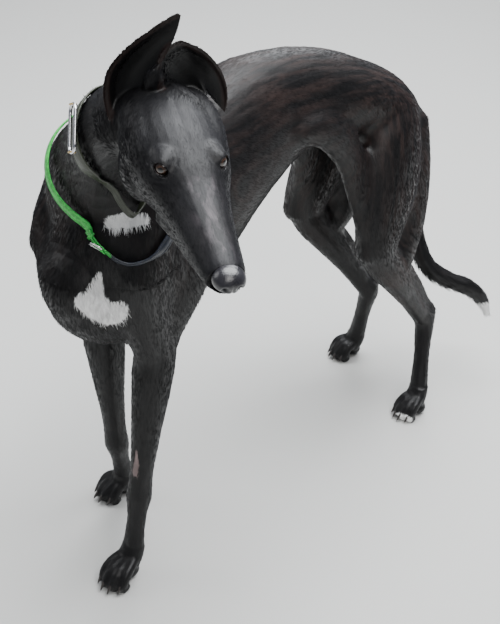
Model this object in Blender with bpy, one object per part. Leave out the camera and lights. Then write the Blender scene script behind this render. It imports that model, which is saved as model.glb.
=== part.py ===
# Standing greyhound, a still life-size model. The dog faces -Y and its left side is +X.
# Sizes are in metres. The floor is z = 0.
import math

import bmesh
import bpy
import numpy as np
from mathutils import Matrix, Vector
from mathutils.bvhtree import BVHTree

# Driving dimensions
GAP = 0.0003
MERGE = 0.00005
SHARP_ANGLE = 50
THIN_ATTEMPTS = 10
THIN_STEP = 0.015
BODY_VOXEL = 0.0042
HEAD_VOXEL = 0.0019
PAW_VOXEL = 0.0021
SOFT_LEVEL = 0.36
SOFT_FADE = 0.09
SOFT_ROUNDS = 60
EYE_RADIUS = 0.0108
EYE_SEGMENTS = 16
EAR_THICKNESS = 0.0032
STRAP_CLEARANCE = 0.0026
UPPER_STRAP_WIDTH = 0.010
UPPER_STRAP_NAPE = 0.034
UPPER_STRAP_THICKNESS = 0.0028
LOWER_STRAP_WIDTH = 0.014
LOWER_STRAP_THICKNESS = 0.0030
RING_LENGTH = 0.060
RING_WIDTH = 0.024
RING_WIRE = 0.0022
BUCKLE_LENGTH = 0.018
BUCKLE_WIDTH = 0.023
BUCKLE_WIRE = 0.0015
LINK_GAP = 0.0020
STRAP_GAP = 0.0010

# Triangles that each node may keep
BUDGET = {
    "body": 4600,
    "head": 3400,
    "nose": 320,
    "forepaw": 600,
    "hindpaw": 560,
    "tail": 520,
}

# Trunk stations from prosternum to croup:
# mid-line x, y, height of the widest level, half width, depth below, height above
TRUNK = (
    (-0.037, -0.108, 0.520, 0.049, 0.052, 0.046),
    (-0.040, -0.086, 0.515, 0.075, 0.084, 0.090),
    (-0.043, -0.045, 0.511, 0.094, 0.116, 0.144),
    (-0.045, 0.000, 0.514, 0.097, 0.138, 0.176),
    (-0.049, 0.050, 0.522, 0.098, 0.146, 0.184),
    (-0.052, 0.120, 0.538, 0.097, 0.136, 0.168),
    (-0.056, 0.200, 0.568, 0.092, 0.108, 0.150),
    (-0.055, 0.280, 0.598, 0.081, 0.098, 0.132),
    (-0.048, 0.350, 0.616, 0.071, 0.084, 0.105),
    (-0.035, 0.420, 0.620, 0.070, 0.072, 0.081),
    (-0.020, 0.480, 0.609, 0.074, 0.072, 0.066),
    (-0.009, 0.550, 0.588, 0.070, 0.066, 0.052),
    (0.001, 0.605, 0.562, 0.050, 0.044, 0.031),
    (0.006, 0.632, 0.549, 0.026, 0.026, 0.018),
)
KEEL = 0.26

# Neck stations from chest to skull: x, y, z, half width, half depth in front, half depth behind
NECK = (
    (-0.040, 0.010, 0.575, 0.092, 0.094, 0.096),
    (-0.044, -0.022, 0.640, 0.088, 0.084, 0.080),
    (-0.011, -0.055, 0.700, 0.061, 0.067, 0.056),
    (0.034, -0.084, 0.748, 0.053, 0.061, 0.048),
    (0.078, -0.098, 0.780, 0.051, 0.057, 0.046),
    (0.118, -0.104, 0.795, 0.045, 0.050, 0.040),
)

# Head frame: origin on top of the occiput, axes to the dog's left, forward and up
HEAD_ORIGIN = Vector((0.112, -0.093, 0.846))
HEAD_LEFT = Vector((0.508, 0.861, -0.006)).normalized()
HEAD_FORWARD = Vector((0.8185, -0.4850, -0.2900)).normalized()

# Head stations from occiput to nose: forward, top, bottom, half width, level of the widest point
HEAD = (
    (-0.012, -0.022, -0.086, 0.035, -0.048),
    (0.004, -0.006, -0.104, 0.046, -0.048),
    (0.030, 0.000, -0.114, 0.055, -0.048),
    (0.055, 0.001, -0.115, 0.0585, -0.048),
    (0.080, -0.001, -0.113, 0.0575, -0.049),
    (0.100, -0.005, -0.108, 0.0535, -0.050),
    (0.120, -0.011, -0.102, 0.0480, -0.051),
    (0.142, -0.018, -0.096, 0.0400, -0.054),
    (0.170, -0.024, -0.090, 0.0335, -0.056),
    (0.198, -0.029, -0.085, 0.0295, -0.058),
    (0.228, -0.034, -0.080, 0.0260, -0.059),
    (0.250, -0.038, -0.074, 0.0225, -0.058),
    (0.261, -0.043, -0.068, 0.0185, -0.057),
)
EYE = (0.0300, 0.1150, -0.0240)
EYE_DIRECTION = (0.56, 0.78, 0.28)
EYE_INNER = (-0.76, 0.54, -0.36)
EYE_OPENING = (0.0100, 0.0068)
LID = 0.0026
MOUTH = (
    (0.000, 0.2620, -0.0660),
    (0.014, 0.2560, -0.0670),
    (0.0225, 0.2320, -0.0710),
    (0.0275, 0.1920, -0.0770),
    (0.0335, 0.1560, -0.0840),
    (0.0410, 0.1280, -0.0890),
)
MOUTH_WIDTH = 0.0016
MOUTH_DEPTH = 0.0022

# Nose pad: the block that it fills in front of the muzzle, and its nostrils
NOSE_BACK = 0.2520
NOSE_BASE = -0.0625

# Ears from base to tip: the two points of the rim in the head frame (left, forward, up), then the cup depth
EAR_FACING = (-0.25, 0.75, 0.61)
EAR_STEPS = 2
EAR = {
    "right": (
        (-0.060, 0.016, -0.046, -0.026, 0.022, -0.022, 0.010),
        (-0.068, 0.006, -0.020, -0.018, 0.016, -0.002, 0.013),
        (-0.066, 0.000, 0.012, -0.010, 0.009, 0.016, 0.014),
        (-0.049, -0.003, 0.038, 0.000, 0.004, 0.032, 0.011),
        (-0.027, -0.004, 0.057, 0.008, 0.000, 0.049, 0.007),
        (-0.007, -0.003, 0.074, 0.012, -0.001, 0.067, 0.003),
        (0.008, -0.002, 0.084, 0.0135, -0.002, 0.080, 0.001),
    ),
    "left": (
        (-0.004, 0.026, -0.014, 0.053, 0.018, -0.050, 0.010),
        (-0.010, 0.014, 0.008, 0.053, 0.014, -0.036, 0.015),
        (-0.009, 0.004, 0.032, 0.051, 0.012, -0.026, 0.018),
        (0.013, -0.004, 0.045, 0.050, 0.012, -0.021, 0.016),
        (0.031, -0.006, 0.038, 0.053, 0.012, -0.023, 0.012),
        (0.050, -0.004, 0.026, 0.059, 0.012, -0.030, 0.008),
        (0.068, 0.000, 0.004, 0.066, 0.012, -0.039, 0.005),
        (0.077, 0.006, -0.018, 0.071, 0.013, -0.045, 0.003),
        (0.079, 0.012, -0.042, 0.075, 0.014, -0.050, 0.001),
    ),
}

# Regions that part the flesh, as outlines across the dog (x, z), each between two y
FORELEG_OUTLINE = {
    "left": ((-0.010, -0.05), (-0.010, 0.30), (0.012, 0.362), (0.072, 0.430), (0.20, 0.43), (0.20, -0.05)),
    "right": ((-0.052, -0.05), (-0.052, 0.30), (-0.068, 0.362), (-0.128, 0.430), (-0.30, 0.43), (-0.30, -0.05)),
}
FORELEG_SPAN = (-0.20, 0.16)
HINDLEG_OUTLINE = {
    "left": ((-0.011, -0.05), (-0.011, 0.50), (0.080, 0.62), (0.25, 0.62), (0.25, -0.05)),
    "right": ((-0.0122, -0.05), (-0.0122, 0.50), (-0.100, 0.62), (-0.30, 0.62), (-0.30, -0.05)),
}
HINDLEG_SPAN = (0.395, 0.80)
NECK_CUT = (-0.010, -0.045, 0.665)
NECK_CUT_AXIS = (0.20, -0.55, 0.80)
PAW_CUT_HEIGHT = 0.052
TAIL_CUT = (0.012, 0.698, 0.335)

# Toes: places across the paw and reach, as shares of its width and length
TOE_OFFSETS = (-1.5, -0.5, 0.5, 1.5)
INNER_TOE_REACH = 0.60
OUTER_TOE_REACH = 0.44
PAW_SIZES = {"fore": (0.056, 0.050), "hind": (0.050, 0.045)}

# Collars: a centre in the neck and the axis of the loop
UPPER_COLLAR = ((0.024, -0.090, 0.705), (0.935, 0.16, 0.315))
LOWER_COLLAR = ((0.004, -0.052, 0.632), (0.66, -0.48, 0.58))
NAPE = (0.0, -0.25, 0.97)
LOOP_STEPS = 40
LOOP_REACH = 0.13

NAPE_START = 0.05
NAPE_FADE = 0.45

# Collar metal: the place that each piece lies over, and how far the ring sits to one side of its strap
RING_PLACE = (0.036, -0.142, 0.775)
RING_ASIDE = 0.012
BUCKLE_PLACE = (0.012, -0.100, 0.600)

# Joints of each leg, in the pose: x, y, z
FORE = {
    "left": {
        "top": (-0.016, 0.052, 0.690),
        "shoulder": (0.032, -0.060, 0.548),
        "elbow": (0.013, 0.005, 0.380),
        "carpus": (0.015, -0.031, 0.136),
        "knuckle": (0.019, -0.048, 0.046),
        "paw": (0.021, -0.073, 0.012),
        "toes": (0.06, -1.0),
    },
    "right": {
        "top": (-0.074, 0.042, 0.682),
        "shoulder": (-0.119, -0.072, 0.548),
        "elbow": (-0.097, 0.010, 0.380),
        "carpus": (-0.096, 0.036, 0.136),
        "knuckle": (-0.111, 0.066, 0.046),
        "paw": (-0.119, 0.063, 0.012),
        "toes": (-0.25, -1.0),
    },
}
HIND = {
    "left": {
        "hip": (0.044, 0.530, 0.570),
        "seat": (0.032, 0.640, 0.530),
        "stifle": (0.070, 0.464, 0.370),
        "hock": (0.093, 0.640, 0.162),
        "knuckle": (0.123, 0.598, 0.044),
        "paw": (0.126, 0.577, 0.012),
        "toes": (-0.25, -1.0),
    },
    "right": {
        "hip": (-0.070, 0.545, 0.570),
        "seat": (-0.030, 0.650, 0.530),
        "stifle": (-0.104, 0.495, 0.372),
        "hock": (-0.037, 0.650, 0.165),
        "knuckle": (-0.062, 0.664, 0.044),
        "paw": (-0.072, 0.652, 0.012),
        "toes": (-0.30, -1.0),
    },
}

# Tail from croup to tip: x, y, z, radius
TAIL = (
    (-0.004, 0.606, 0.575, 0.026),
    (-0.002, 0.650, 0.534, 0.020),
    (-0.002, 0.688, 0.465, 0.0180),
    (-0.001, 0.700, 0.382, 0.0172),
    (0.015, 0.696, 0.300, 0.0168),
    (0.047, 0.702, 0.234, 0.0165),
    (0.080, 0.730, 0.202, 0.0165),
    (0.108, 0.758, 0.186, 0.0155),
    (0.128, 0.786, 0.155, 0.0130),
    (0.138, 0.804, 0.116, 0.0070),
)


def catmull_rom(rows, steps):
    """Rows of a short table, read as a smooth curve with `steps` samples to a span."""
    table = np.array(rows, dtype=float)
    padded = np.vstack([2 * table[0] - table[1], table, 2 * table[-1] - table[-2]])
    samples = []
    for index in range(len(table) - 1):
        before, start, end, after = padded[index:index + 4]
        for step in range(steps):
            t = step / steps
            samples.append(
                0.5 * (2 * start + (end - before) * t
                       + (2 * before - 5 * start + 4 * end - after) * t * t
                       + (3 * start - before - 3 * end + after) * t ** 3)
            )
    samples.append(table[-1])
    return np.array(samples)


def new_object(name, mesh):
    """Object of a mesh, linked to the scene."""
    thing = bpy.data.objects.new(name, mesh)
    bpy.context.scene.collection.objects.link(thing)
    return thing


def finished(name, work):
    """Object of a closed mesh under work, with its faces turned outwards."""
    bmesh.ops.recalc_face_normals(work, faces=work.faces)
    if work.calc_volume(signed=True) < 0:
        bmesh.ops.reverse_faces(work, faces=work.faces)
    mesh = bpy.data.meshes.new(name)
    work.to_mesh(mesh)
    work.free()
    return new_object(name, mesh)


def face_out(thing):
    """Turn the faces of an object outwards."""
    work = bmesh.new()
    work.from_mesh(thing.data)
    bmesh.ops.recalc_face_normals(work, faces=work.faces)
    if work.calc_volume(signed=True) < 0:
        bmesh.ops.reverse_faces(work, faces=work.faces)
    work.to_mesh(thing.data)
    work.free()


def drop(thing):
    """Remove an object and its mesh."""
    mesh = thing.data
    bpy.data.objects.remove(thing, do_unlink=True)
    bpy.data.meshes.remove(mesh)


def skin_rings(name, rings):
    """Closed mesh over a list of rings, with a fan at each end."""
    work = bmesh.new()
    loops = [[work.verts.new(point) for point in ring] for ring in rings]
    count = len(rings[0])
    for lower, upper in zip(loops[:-1], loops[1:]):
        for index in range(count):
            after = (index + 1) % count
            work.faces.new((lower[index], lower[after], upper[after], upper[index]))
    for loop in (loops[0], loops[-1]):
        centre = work.verts.new(sum((vert.co for vert in loop), Vector()) / count)
        for index in range(count):
            work.faces.new((loop[index], loop[(index + 1) % count], centre))
    return finished(name, work)


def tube(name, rows, side, side_end=None, sides=24, steps=5, keel=0.0, cap=0.6):
    """Limb along a path. A row is x, y, z, half width to the side, then half depth before and behind."""
    samples = catmull_rom(rows, steps)
    centres = samples[:, :3]
    tangents = np.gradient(centres, axis=0)
    side_start = np.array(side, dtype=float)
    side_stop = side_start if side_end is None else np.array(side_end, dtype=float)
    angles = np.linspace(0, 2 * math.pi, sides, endpoint=False)
    sines = np.sin(angles)
    cosines = np.cos(angles) * (1 - keel * np.clip(sines, 0, 1))

    def ring(index, scale=1.0, shift=0.0):
        tangent = tangents[index] / np.linalg.norm(tangents[index])
        blend = index / (len(samples) - 1)
        across = side_start * (1 - blend) + side_stop * blend
        across = across - tangent * (across @ tangent)
        across = across / np.linalg.norm(across)
        ahead = np.cross(tangent, across)
        width, front, back = samples[index, 3:6] * scale
        depth = np.where(sines > 0, front, back)
        points = (centres[index] + tangent * shift
                  + cosines[:, None] * width * across + (sines * depth)[:, None] * ahead)
        return [tuple(point) for point in points]

    rings = []
    last = len(samples) - 1
    for angle in (75, 50, 25):
        turn = math.radians(angle)
        rings.append(ring(0, math.cos(turn), -cap * samples[0, 3] * math.sin(turn)))
    for index in range(last + 1):
        rings.append(ring(index))
    for angle in (25, 50, 75):
        turn = math.radians(angle)
        rings.append(ring(last, math.cos(turn), cap * samples[last, 3] * math.sin(turn)))
    return skin_rings(name, rings)


def blob(name, centre, radii, axis=(0, 0, 1), side=(1, 0, 0), segments=24):
    """Ellipsoid with radii along the side, across it, and along its own axis."""
    along = Vector(axis).normalized()
    across = Vector(side)
    across = (across - along * across.dot(along)).normalized()
    third = along.cross(across)
    turn = Matrix((across, third, along)).transposed().to_4x4()
    work = bmesh.new()
    bmesh.ops.create_uvsphere(work, u_segments=segments, v_segments=segments * 5 // 8, radius=1.0)
    shape = Matrix.Translation(Vector(centre)) @ turn @ Matrix.Diagonal((*radii, 1.0))
    bmesh.ops.transform(work, matrix=shape, verts=work.verts)
    return finished(name, work)


def apply_modifiers(thing):
    """Replace the mesh of an object by the one its modifiers make."""
    depsgraph = bpy.context.evaluated_depsgraph_get()
    mesh = bpy.data.meshes.new_from_object(thing.evaluated_get(depsgraph))
    old = thing.data
    thing.modifiers.clear()
    thing.data = mesh
    bpy.data.meshes.remove(old)


def merge_meshes(name, things):
    """One mesh that holds the shells of several objects, which are removed."""
    work = bmesh.new()
    for thing in things:
        work.from_mesh(thing.data)
        drop(thing)
    return finished(name, work)


def fuse(name, things, voxel, rounds):
    """Flesh over several overlapping forms: remeshed as one body, then smoothed."""
    body = merge_meshes(name, things)
    remesh = body.modifiers.new("Fuse", "REMESH")
    remesh.mode = "VOXEL"
    remesh.voxel_size = voxel
    relax = body.modifiers.new("Relax", "SMOOTH")
    relax.factor = 0.5
    relax.iterations = rounds
    apply_modifiers(body)
    return body


def soften(body, level, rounds):
    """Further smoothing of the broad flesh above a level, fading in over `SOFT_FADE`."""
    broad = body.vertex_groups.new(name="broad")
    for vert in body.data.vertices:
        weight = min(1.0, max(0.0, (vert.co.z - level) / SOFT_FADE))
        broad.add([vert.index], weight, "REPLACE")
    relax = body.modifiers.new("Soften", "SMOOTH")
    relax.factor = 0.5
    relax.iterations = rounds
    relax.vertex_group = broad.name
    apply_modifiers(body)
    body.vertex_groups.clear()


def is_closed(thing):
    """Whether every edge of an object has two faces, and there is a surface at all."""
    work = bmesh.new()
    work.from_mesh(thing.data)
    closed = bool(work.faces) and all(edge.is_manifold for edge in work.edges)
    work.free()
    return closed


def thin_out(thing, triangles):
    """Bring an object down to a number of triangles, or to a few less where that opens the surface."""
    count = sum(len(face.vertices) - 2 for face in thing.data.polygons)
    whole = thing.data.copy()
    for attempt in range(THIN_ATTEMPTS):
        wanted = triangles * (1 - attempt * THIN_STEP)
        if count <= wanted:
            break
        decimate = thing.modifiers.new("Thin", "DECIMATE")
        decimate.ratio = wanted / count
        apply_modifiers(thing)
        if is_closed(thing):
            break
        thing.data = whole.copy()
    bpy.data.meshes.remove(whole)


def boolean(thing, cutter, operation, solvers=("EXACT", "MANIFOLD")):
    """Apply a Boolean with one cutter. The second solver takes over where the first one fails."""
    whole = thing.data.copy()
    for solver in solvers:
        modifier = thing.modifiers.new("Cut", "BOOLEAN")
        modifier.operation = operation
        modifier.object = cutter
        modifier.solver = solver
        apply_modifiers(thing)
        if is_closed(thing):
            break
        thing.data = whole.copy()
    bpy.data.meshes.remove(whole)


def keep_largest(thing):
    """Keep the largest closed surface of an object."""
    work = bmesh.new()
    work.from_mesh(thing.data)
    work.verts.ensure_lookup_table()
    seen = set()
    groups = []
    for vert in work.verts:
        if vert.index in seen:
            continue
        group = []
        queue = [vert]
        seen.add(vert.index)
        while queue:
            here = queue.pop()
            group.append(here)
            for edge in here.link_edges:
                there = edge.other_vert(here)
                if there.index not in seen:
                    seen.add(there.index)
                    queue.append(there)
        groups.append(group)
    groups.sort(key=len, reverse=True)
    for group in groups[1:]:
        bmesh.ops.delete(work, geom=group, context="VERTS")
    work.to_mesh(thing.data)
    work.free()


def copy_of(thing, name, grow=0.0):
    """Copy of an object, with its surface moved out by `grow`."""
    mesh = thing.data.copy()
    if grow:
        normals = [vert.normal.copy() for vert in mesh.vertices]
        for vert, normal in zip(mesh.vertices, normals):
            vert.co += normal * grow
    return new_object(name, mesh)


def block(name, centre, size, axis_x=(1, 0, 0), axis_z=(0, 0, 1), grow=0.0):
    """Box with its own axes, as a cutter."""
    up = Vector(axis_z).normalized()
    right = Vector(axis_x)
    right = (right - up * right.dot(up)).normalized()
    ahead = up.cross(right)
    turn = Matrix((right, ahead, up)).transposed().to_4x4()
    work = bmesh.new()
    bmesh.ops.create_cube(work, size=1.0)
    scale = Matrix.Diagonal((*(value + 2 * grow for value in size), 1.0))
    bmesh.ops.transform(work, matrix=Matrix.Translation(Vector(centre)) @ turn @ scale, verts=work.verts)
    return finished(name, work)


def lerp(start, end, t):
    """Point between two points."""
    return tuple(a + (b - a) * t for a, b in zip(start, end))


def shifted(point, move):
    """Point moved by a vector."""
    return tuple(a + b for a, b in zip(point, move))


def row(point, *sizes):
    """Station of a tube."""
    return (*point, *sizes)


def head_point(left, forward, up):
    """Point given in the head's frame."""
    head_up = HEAD_LEFT.cross(-HEAD_FORWARD).normalized()
    return HEAD_ORIGIN + HEAD_LEFT * left + HEAD_FORWARD * forward + head_up * up


def trunk_forms():
    """Rib cage, loin and croup, with the chest and the long back muscles."""
    forms = [tube("trunk", TRUNK, (1, 0, 0), sides=36, keel=KEEL)]
    forms.append(blob("breastbone", (-0.026, -0.074, 0.498), (0.050, 0.042, 0.070)))
    forms.append(blob("breast", (-0.032, -0.050, 0.560), (0.076, 0.056, 0.084)))
    forms.append(blob("withers", (-0.040, 0.055, 0.664), (0.042, 0.090, 0.046)))
    return forms


def neck_forms(first=0):
    """Neck, flatter at the crest, from one of its stations to the skull."""
    start = (1, -0.1, 0) if first == 0 else tuple(HEAD_LEFT)
    return [tube("neck", NECK[first:], start, side_end=tuple(HEAD_LEFT), sides=32)]


def foreleg_forms(side):
    """Shoulder blade, upper arm, forearm and pastern of one side."""
    joint = FORE[side]
    sign = 1 if side == "left" else -1
    top, shoulder, elbow = joint["top"], joint["shoulder"], joint["elbow"]
    carpus, knuckle = joint["carpus"], joint["knuckle"]
    out = (1, 0, 0)
    forms = [
        tube(f"blade_{side}", (
            row(shifted(top, (sign * 0.010, 0, -0.020)), 0.016, 0.030, 0.034),
            row(shifted(lerp(top, shoulder, 0.5), (sign * 0.019, 0.006, 0.006)), 0.026, 0.046, 0.052),
            row(shifted(shoulder, (0, 0.012, 0.010)), 0.027, 0.030, 0.040),
        ), out),
        tube(f"upper_arm_{side}", (
            row(shifted(shoulder, (0, 0.008, 0)), 0.030, 0.032, 0.040),
            row(shifted(lerp(shoulder, elbow, 0.5), (-sign * 0.001, 0, 0)), 0.030, 0.034, 0.046),
            row(elbow, 0.027, 0.032, 0.034),
        ), out),
        tube(f"triceps_{side}", (
            row(shifted(top, (sign * 0.036, 0.045, -0.120)), 0.018, 0.040, 0.036),
            row(shifted(lerp(top, elbow, 0.62), (sign * 0.031, 0.036, 0)), 0.025, 0.048, 0.038),
            row(shifted(elbow, (sign * 0.004, 0.016, 0.012)), 0.019, 0.024, 0.020),
        ), out),
        tube(f"forearm_{side}", (
            row(shifted(elbow, (0, 0.004, 0.030)), 0.028, 0.032, 0.034),
            row(lerp(elbow, carpus, 0.10), 0.0300, 0.032, 0.034),
            row(lerp(elbow, carpus, 0.28), 0.0280, 0.029, 0.031),
            row(lerp(elbow, carpus, 0.50), 0.0230, 0.0240, 0.0255),
            row(lerp(elbow, carpus, 0.74), 0.0190, 0.0190, 0.0210),
            row(lerp(elbow, carpus, 0.90), 0.0190, 0.0182, 0.0195),
            row(carpus, 0.0210, 0.0192, 0.0205),
            row(lerp(carpus, knuckle, 0.30), 0.0170, 0.0150, 0.0165),
            row(lerp(carpus, knuckle, 0.65), 0.0165, 0.0135, 0.0150),
            row(knuckle, 0.0195, 0.0150, 0.0155),
        ), out, sides=20),
        blob(f"stopper_{side}", shifted(carpus, (0, 0.018, -0.016)), (0.0075, 0.0085, 0.012)),
        blob(f"elbow_point_{side}", shifted(elbow, (sign * 0.004, 0.030, 0.010)), (0.012, 0.014, 0.020)),
    ]
    return forms


def hindleg_forms(side):
    """Thigh, lower thigh with its tendon, hock and rear pastern of one side."""
    joint = HIND[side]
    sign = 1 if side == "left" else -1
    hip, seat, stifle = joint["hip"], joint["seat"], joint["stifle"]
    hock, knuckle = joint["hock"], joint["knuckle"]
    out = (1, 0, 0)
    point = shifted(hock, (0, 0.021, 0.014))
    calf = lerp(stifle, hock, 0.30)
    forms = [
        tube(f"thigh_{side}", (
            row(shifted(hip, (-sign * 0.026, -0.012, 0.040)), 0.020, 0.030, 0.040),
            row(shifted(hip, (-sign * 0.006, 0.002, 0)), 0.038, 0.058, 0.062),
            row(shifted(lerp(hip, stifle, 0.45), (0, 0.014, 0)), 0.042, 0.066, 0.070),
            row(shifted(lerp(hip, stifle, 0.80), (0, 0.010, 0)), 0.036, 0.052, 0.062),
            row(shifted(stifle, (0, 0.004, -0.008)), 0.029, 0.034, 0.048),
        ), out, sides=28),
        tube(f"flank_{side}", (
            row(shifted(hip, (-sign * 0.022, -0.225, 0.050)), 0.016, 0.018, 0.020),
            row(shifted(hip, (-sign * 0.013, -0.168, 0.022)), 0.015, 0.021, 0.042),
            row(shifted(hip, (-sign * 0.006, -0.118, -0.034)), 0.015, 0.020, 0.048),
            row(shifted(lerp(hip, stifle, 0.5), (-sign * 0.008, -0.060, 0)), 0.016, 0.020, 0.044),
            row(shifted(stifle, (-sign * 0.006, -0.012, 0.040)), 0.015, 0.020, 0.026),
        ), out),
        tube(f"ham_{side}", (
            row(shifted(seat, (0, -0.014, 0.016)), 0.022, 0.034, 0.022),
            row(shifted(lerp(seat, stifle, 0.30), (sign * 0.006, 0.012, -0.024)), 0.033, 0.046, 0.036),
            row(shifted(lerp(seat, calf, 0.68), (sign * 0.002, 0.022, 0)), 0.029, 0.042, 0.036),
            row(shifted(calf, (0, 0.026, 0.006)), 0.023, 0.030, 0.028),
        ), out),
        tube(f"gaskin_{side}", (
            row(shifted(stifle, (0, 0.002, 0.012)), 0.028, 0.030, 0.040),
            row(lerp(stifle, hock, 0.18), 0.0275, 0.027, 0.044),
            row(lerp(stifle, hock, 0.42), 0.0240, 0.022, 0.040),
            row(lerp(stifle, hock, 0.68), 0.0180, 0.0180, 0.0270),
            row(lerp(stifle, hock, 0.88), 0.0170, 0.0190, 0.0190),
            row(hock, 0.0190, 0.0210, 0.0200),
            row(lerp(hock, knuckle, 0.25), 0.0165, 0.0170, 0.0190),
            row(lerp(hock, knuckle, 0.60), 0.0155, 0.0140, 0.0170),
            row(knuckle, 0.0182, 0.0150, 0.0165),
        ), out, sides=20),
        tube(f"tendon_{side}", (
            row(shifted(calf, (0, 0.040, 0.004)), 0.016, 0.016, 0.014),
            row(shifted(lerp(stifle, hock, 0.62), (0, 0.035, 0.010)), 0.0095, 0.0110, 0.0100),
            row(shifted(lerp(stifle, hock, 0.84), (0, 0.030, 0.006)), 0.0080, 0.0090, 0.0085),
            row(point, 0.0100, 0.0105, 0.0100),
        ), out, sides=14),
        tube(f"heel_{side}", (
            row(point, 0.0105, 0.0110, 0.0105),
            row(shifted(lerp(hock, knuckle, 0.25), (0, 0.010, 0)), 0.0110, 0.011, 0.011),
        ), out, sides=14),
    ]
    return forms


def tail_forms():
    """Tail, thick at the root and thin at the tip."""
    rows = tuple((x, y, z, radius, radius, radius) for x, y, z, radius in TAIL)
    return [tube("tail", rows, (1, 0, 0), sides=16)]


def paw_forms(side, joint, length, width):
    """Four arched toes with pads round the end of a pastern."""
    knuckle = Vector(joint["knuckle"])
    paw = Vector(joint["paw"])
    ahead = Vector((*joint["toes"], 0)).normalized()
    across = Vector((-ahead.y, ahead.x, 0))
    forms = [
        tube(f"{side}_pastern", (
            row(knuckle + Vector((0, 0, 0.024)), 0.0175, 0.0150, 0.0155),
            row(knuckle, 0.0190, 0.0155, 0.0160),
            row(knuckle.lerp(paw, 0.55), 0.0205, 0.0150, 0.0160),
        ), across, sides=18),
        blob(f"{side}_heel_pad", paw - ahead * 0.012, (0.0175, 0.017, 0.0130), side=across),
    ]
    for index, offset in enumerate(TOE_OFFSETS):
        reach = length * (INNER_TOE_REACH if abs(offset) < 1 else OUTER_TOE_REACH)
        spread = across * offset * width * 0.25
        arch = paw + spread * 0.96 + ahead * (reach * 0.42) + Vector((0, 0, 0.0165))
        tip = paw + spread * 1.02 + ahead * (reach * 0.86) + Vector((0, 0, 0.004))
        end = paw + spread * 1.02 + ahead * reach - Vector((0, 0, 0.002))
        forms.append(tube(f"{side}_toe_{index}", (
            row(knuckle.lerp(paw, 0.45) + spread * 0.62 + Vector((0, 0, 0.004)), 0.0085, 0.0085, 0.0100),
            row(arch, 0.0076, 0.0085, 0.0090),
            row(tip, 0.0076, 0.0078, 0.0085),
            row(end, 0.0062, 0.0060, 0.0070),
        ), across, sides=14, steps=4))
        pad = paw + spread * 1.02 + ahead * (reach * 0.72) - Vector((0, 0, 0.006))
        forms.append(blob(f"{side}_pad_{index}", pad, (0.0070, 0.0105, 0.0075), side=across))
        root = paw + spread * 1.02 + ahead * (reach * 0.93) + Vector((0, 0, 0.006))
        point = paw + spread * 1.04 + ahead * (reach + 0.011) - Vector((0, 0, 0.0075))
        forms.append(tube(f"{side}_claw_{index}", (
            row(root, 0.0030, 0.0034, 0.0034),
            row(root.lerp(point, 0.6) + Vector((0, 0, 0.0018)), 0.0026, 0.0028, 0.0028),
            row(point, 0.0014, 0.0016, 0.0016),
        ), across, sides=8, steps=3))
    return forms


def head_forms():
    """Skull, cheeks, muzzle, lips and jaw."""
    rows = []
    for forward, top, bottom, width, level in HEAD:
        rows.append(row(head_point(0, forward, level), width, top - level, level - bottom))
    forms = [tube("skull", rows, HEAD_LEFT, sides=36, steps=4, cap=0.45)]
    jaw = (
        row(head_point(0, 0.050, -0.098), 0.030, 0.018, 0.016),
        row(head_point(0, 0.110, -0.094), 0.026, 0.014, 0.013),
        row(head_point(0, 0.170, -0.081), 0.0185, 0.010, 0.009),
        row(head_point(0, 0.236, -0.0710), 0.0140, 0.006, 0.008),
    )
    forms.append(tube("jaw", jaw, HEAD_LEFT, sides=24))
    for sign in (1, -1):
        arch = (
            row(head_point(sign * 0.037, 0.122, -0.047), 0.006, 0.008, 0.008),
            row(head_point(sign * 0.046, 0.095, -0.043), 0.007, 0.009, 0.009),
            row(head_point(sign * 0.0525, 0.060, -0.041), 0.006, 0.009, 0.009),
            row(head_point(sign * 0.048, 0.028, -0.041), 0.006, 0.010, 0.010),
        )
        forms.append(tube("cheekbone", arch, HEAD_LEFT, sides=14))
        forms.append(blob("cheek", head_point(sign * 0.038, 0.066, -0.072), (0.022, 0.032, 0.040),
                          axis=HEAD_FORWARD, side=HEAD_LEFT))
        forms.append(blob("temple", head_point(sign * 0.032, 0.050, -0.0345), (0.0250, 0.0250, 0.066),
                          axis=HEAD_FORWARD, side=HEAD_LEFT, segments=32))
        forms.append(blob("brow", head_point(sign * 0.022, 0.098, -0.022), (0.019, 0.0125, 0.030),
                          axis=HEAD_FORWARD, side=HEAD_LEFT))
        forms.append(blob("orbit", eye_centre(sign) - eye_axis(sign) * 0.0105, (0.0190,) * 3, segments=32))
        forms.append(blob("eyelids", eye_centre(sign), (EYE_RADIUS + LID,) * 3))
        lip = (
            row(head_point(sign * 0.0135, 0.249, -0.059), 0.0070, 0.008, 0.008),
            row(head_point(sign * 0.0190, 0.218, -0.063), 0.0080, 0.010, 0.010),
            row(head_point(sign * 0.0235, 0.178, -0.069), 0.0085, 0.011, 0.012),
            row(head_point(sign * 0.0300, 0.134, -0.077), 0.0095, 0.012, 0.013),
        )
        forms.append(tube("lip", lip, HEAD_LEFT, sides=14))
    return forms


def eye_axis(sign):
    """Direction in which an eye looks."""
    side, forward, up = EYE_DIRECTION
    return (head_point(sign * side, forward, up) - HEAD_ORIGIN).normalized()


def eye_centre(sign):
    """Centre of an eyeball."""
    side, forward, up = EYE
    return head_point(sign * side, forward, up)


def carve_mouth(head):
    """Press the line of the mouth into the head, from under the nose to the corners."""
    normals = [vert.normal.copy() for vert in head.data.vertices]
    lines = []
    for sign in (1, -1):
        points = [head_point(sign * side, forward, up) for side, forward, up in MOUTH]
        lines.extend(zip(points[:-1], points[1:]))
    for vert, normal in zip(head.data.vertices, normals):
        nearest = MOUTH_WIDTH * 4
        for start, end in lines:
            run = end - start
            t = min(1.0, max(0.0, (vert.co - start).dot(run) / run.length_squared))
            nearest = min(nearest, (vert.co - start - run * t).length)
        vert.co -= normal * MOUTH_DEPTH * math.exp(-(nearest / MOUTH_WIDTH) ** 2)


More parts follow.
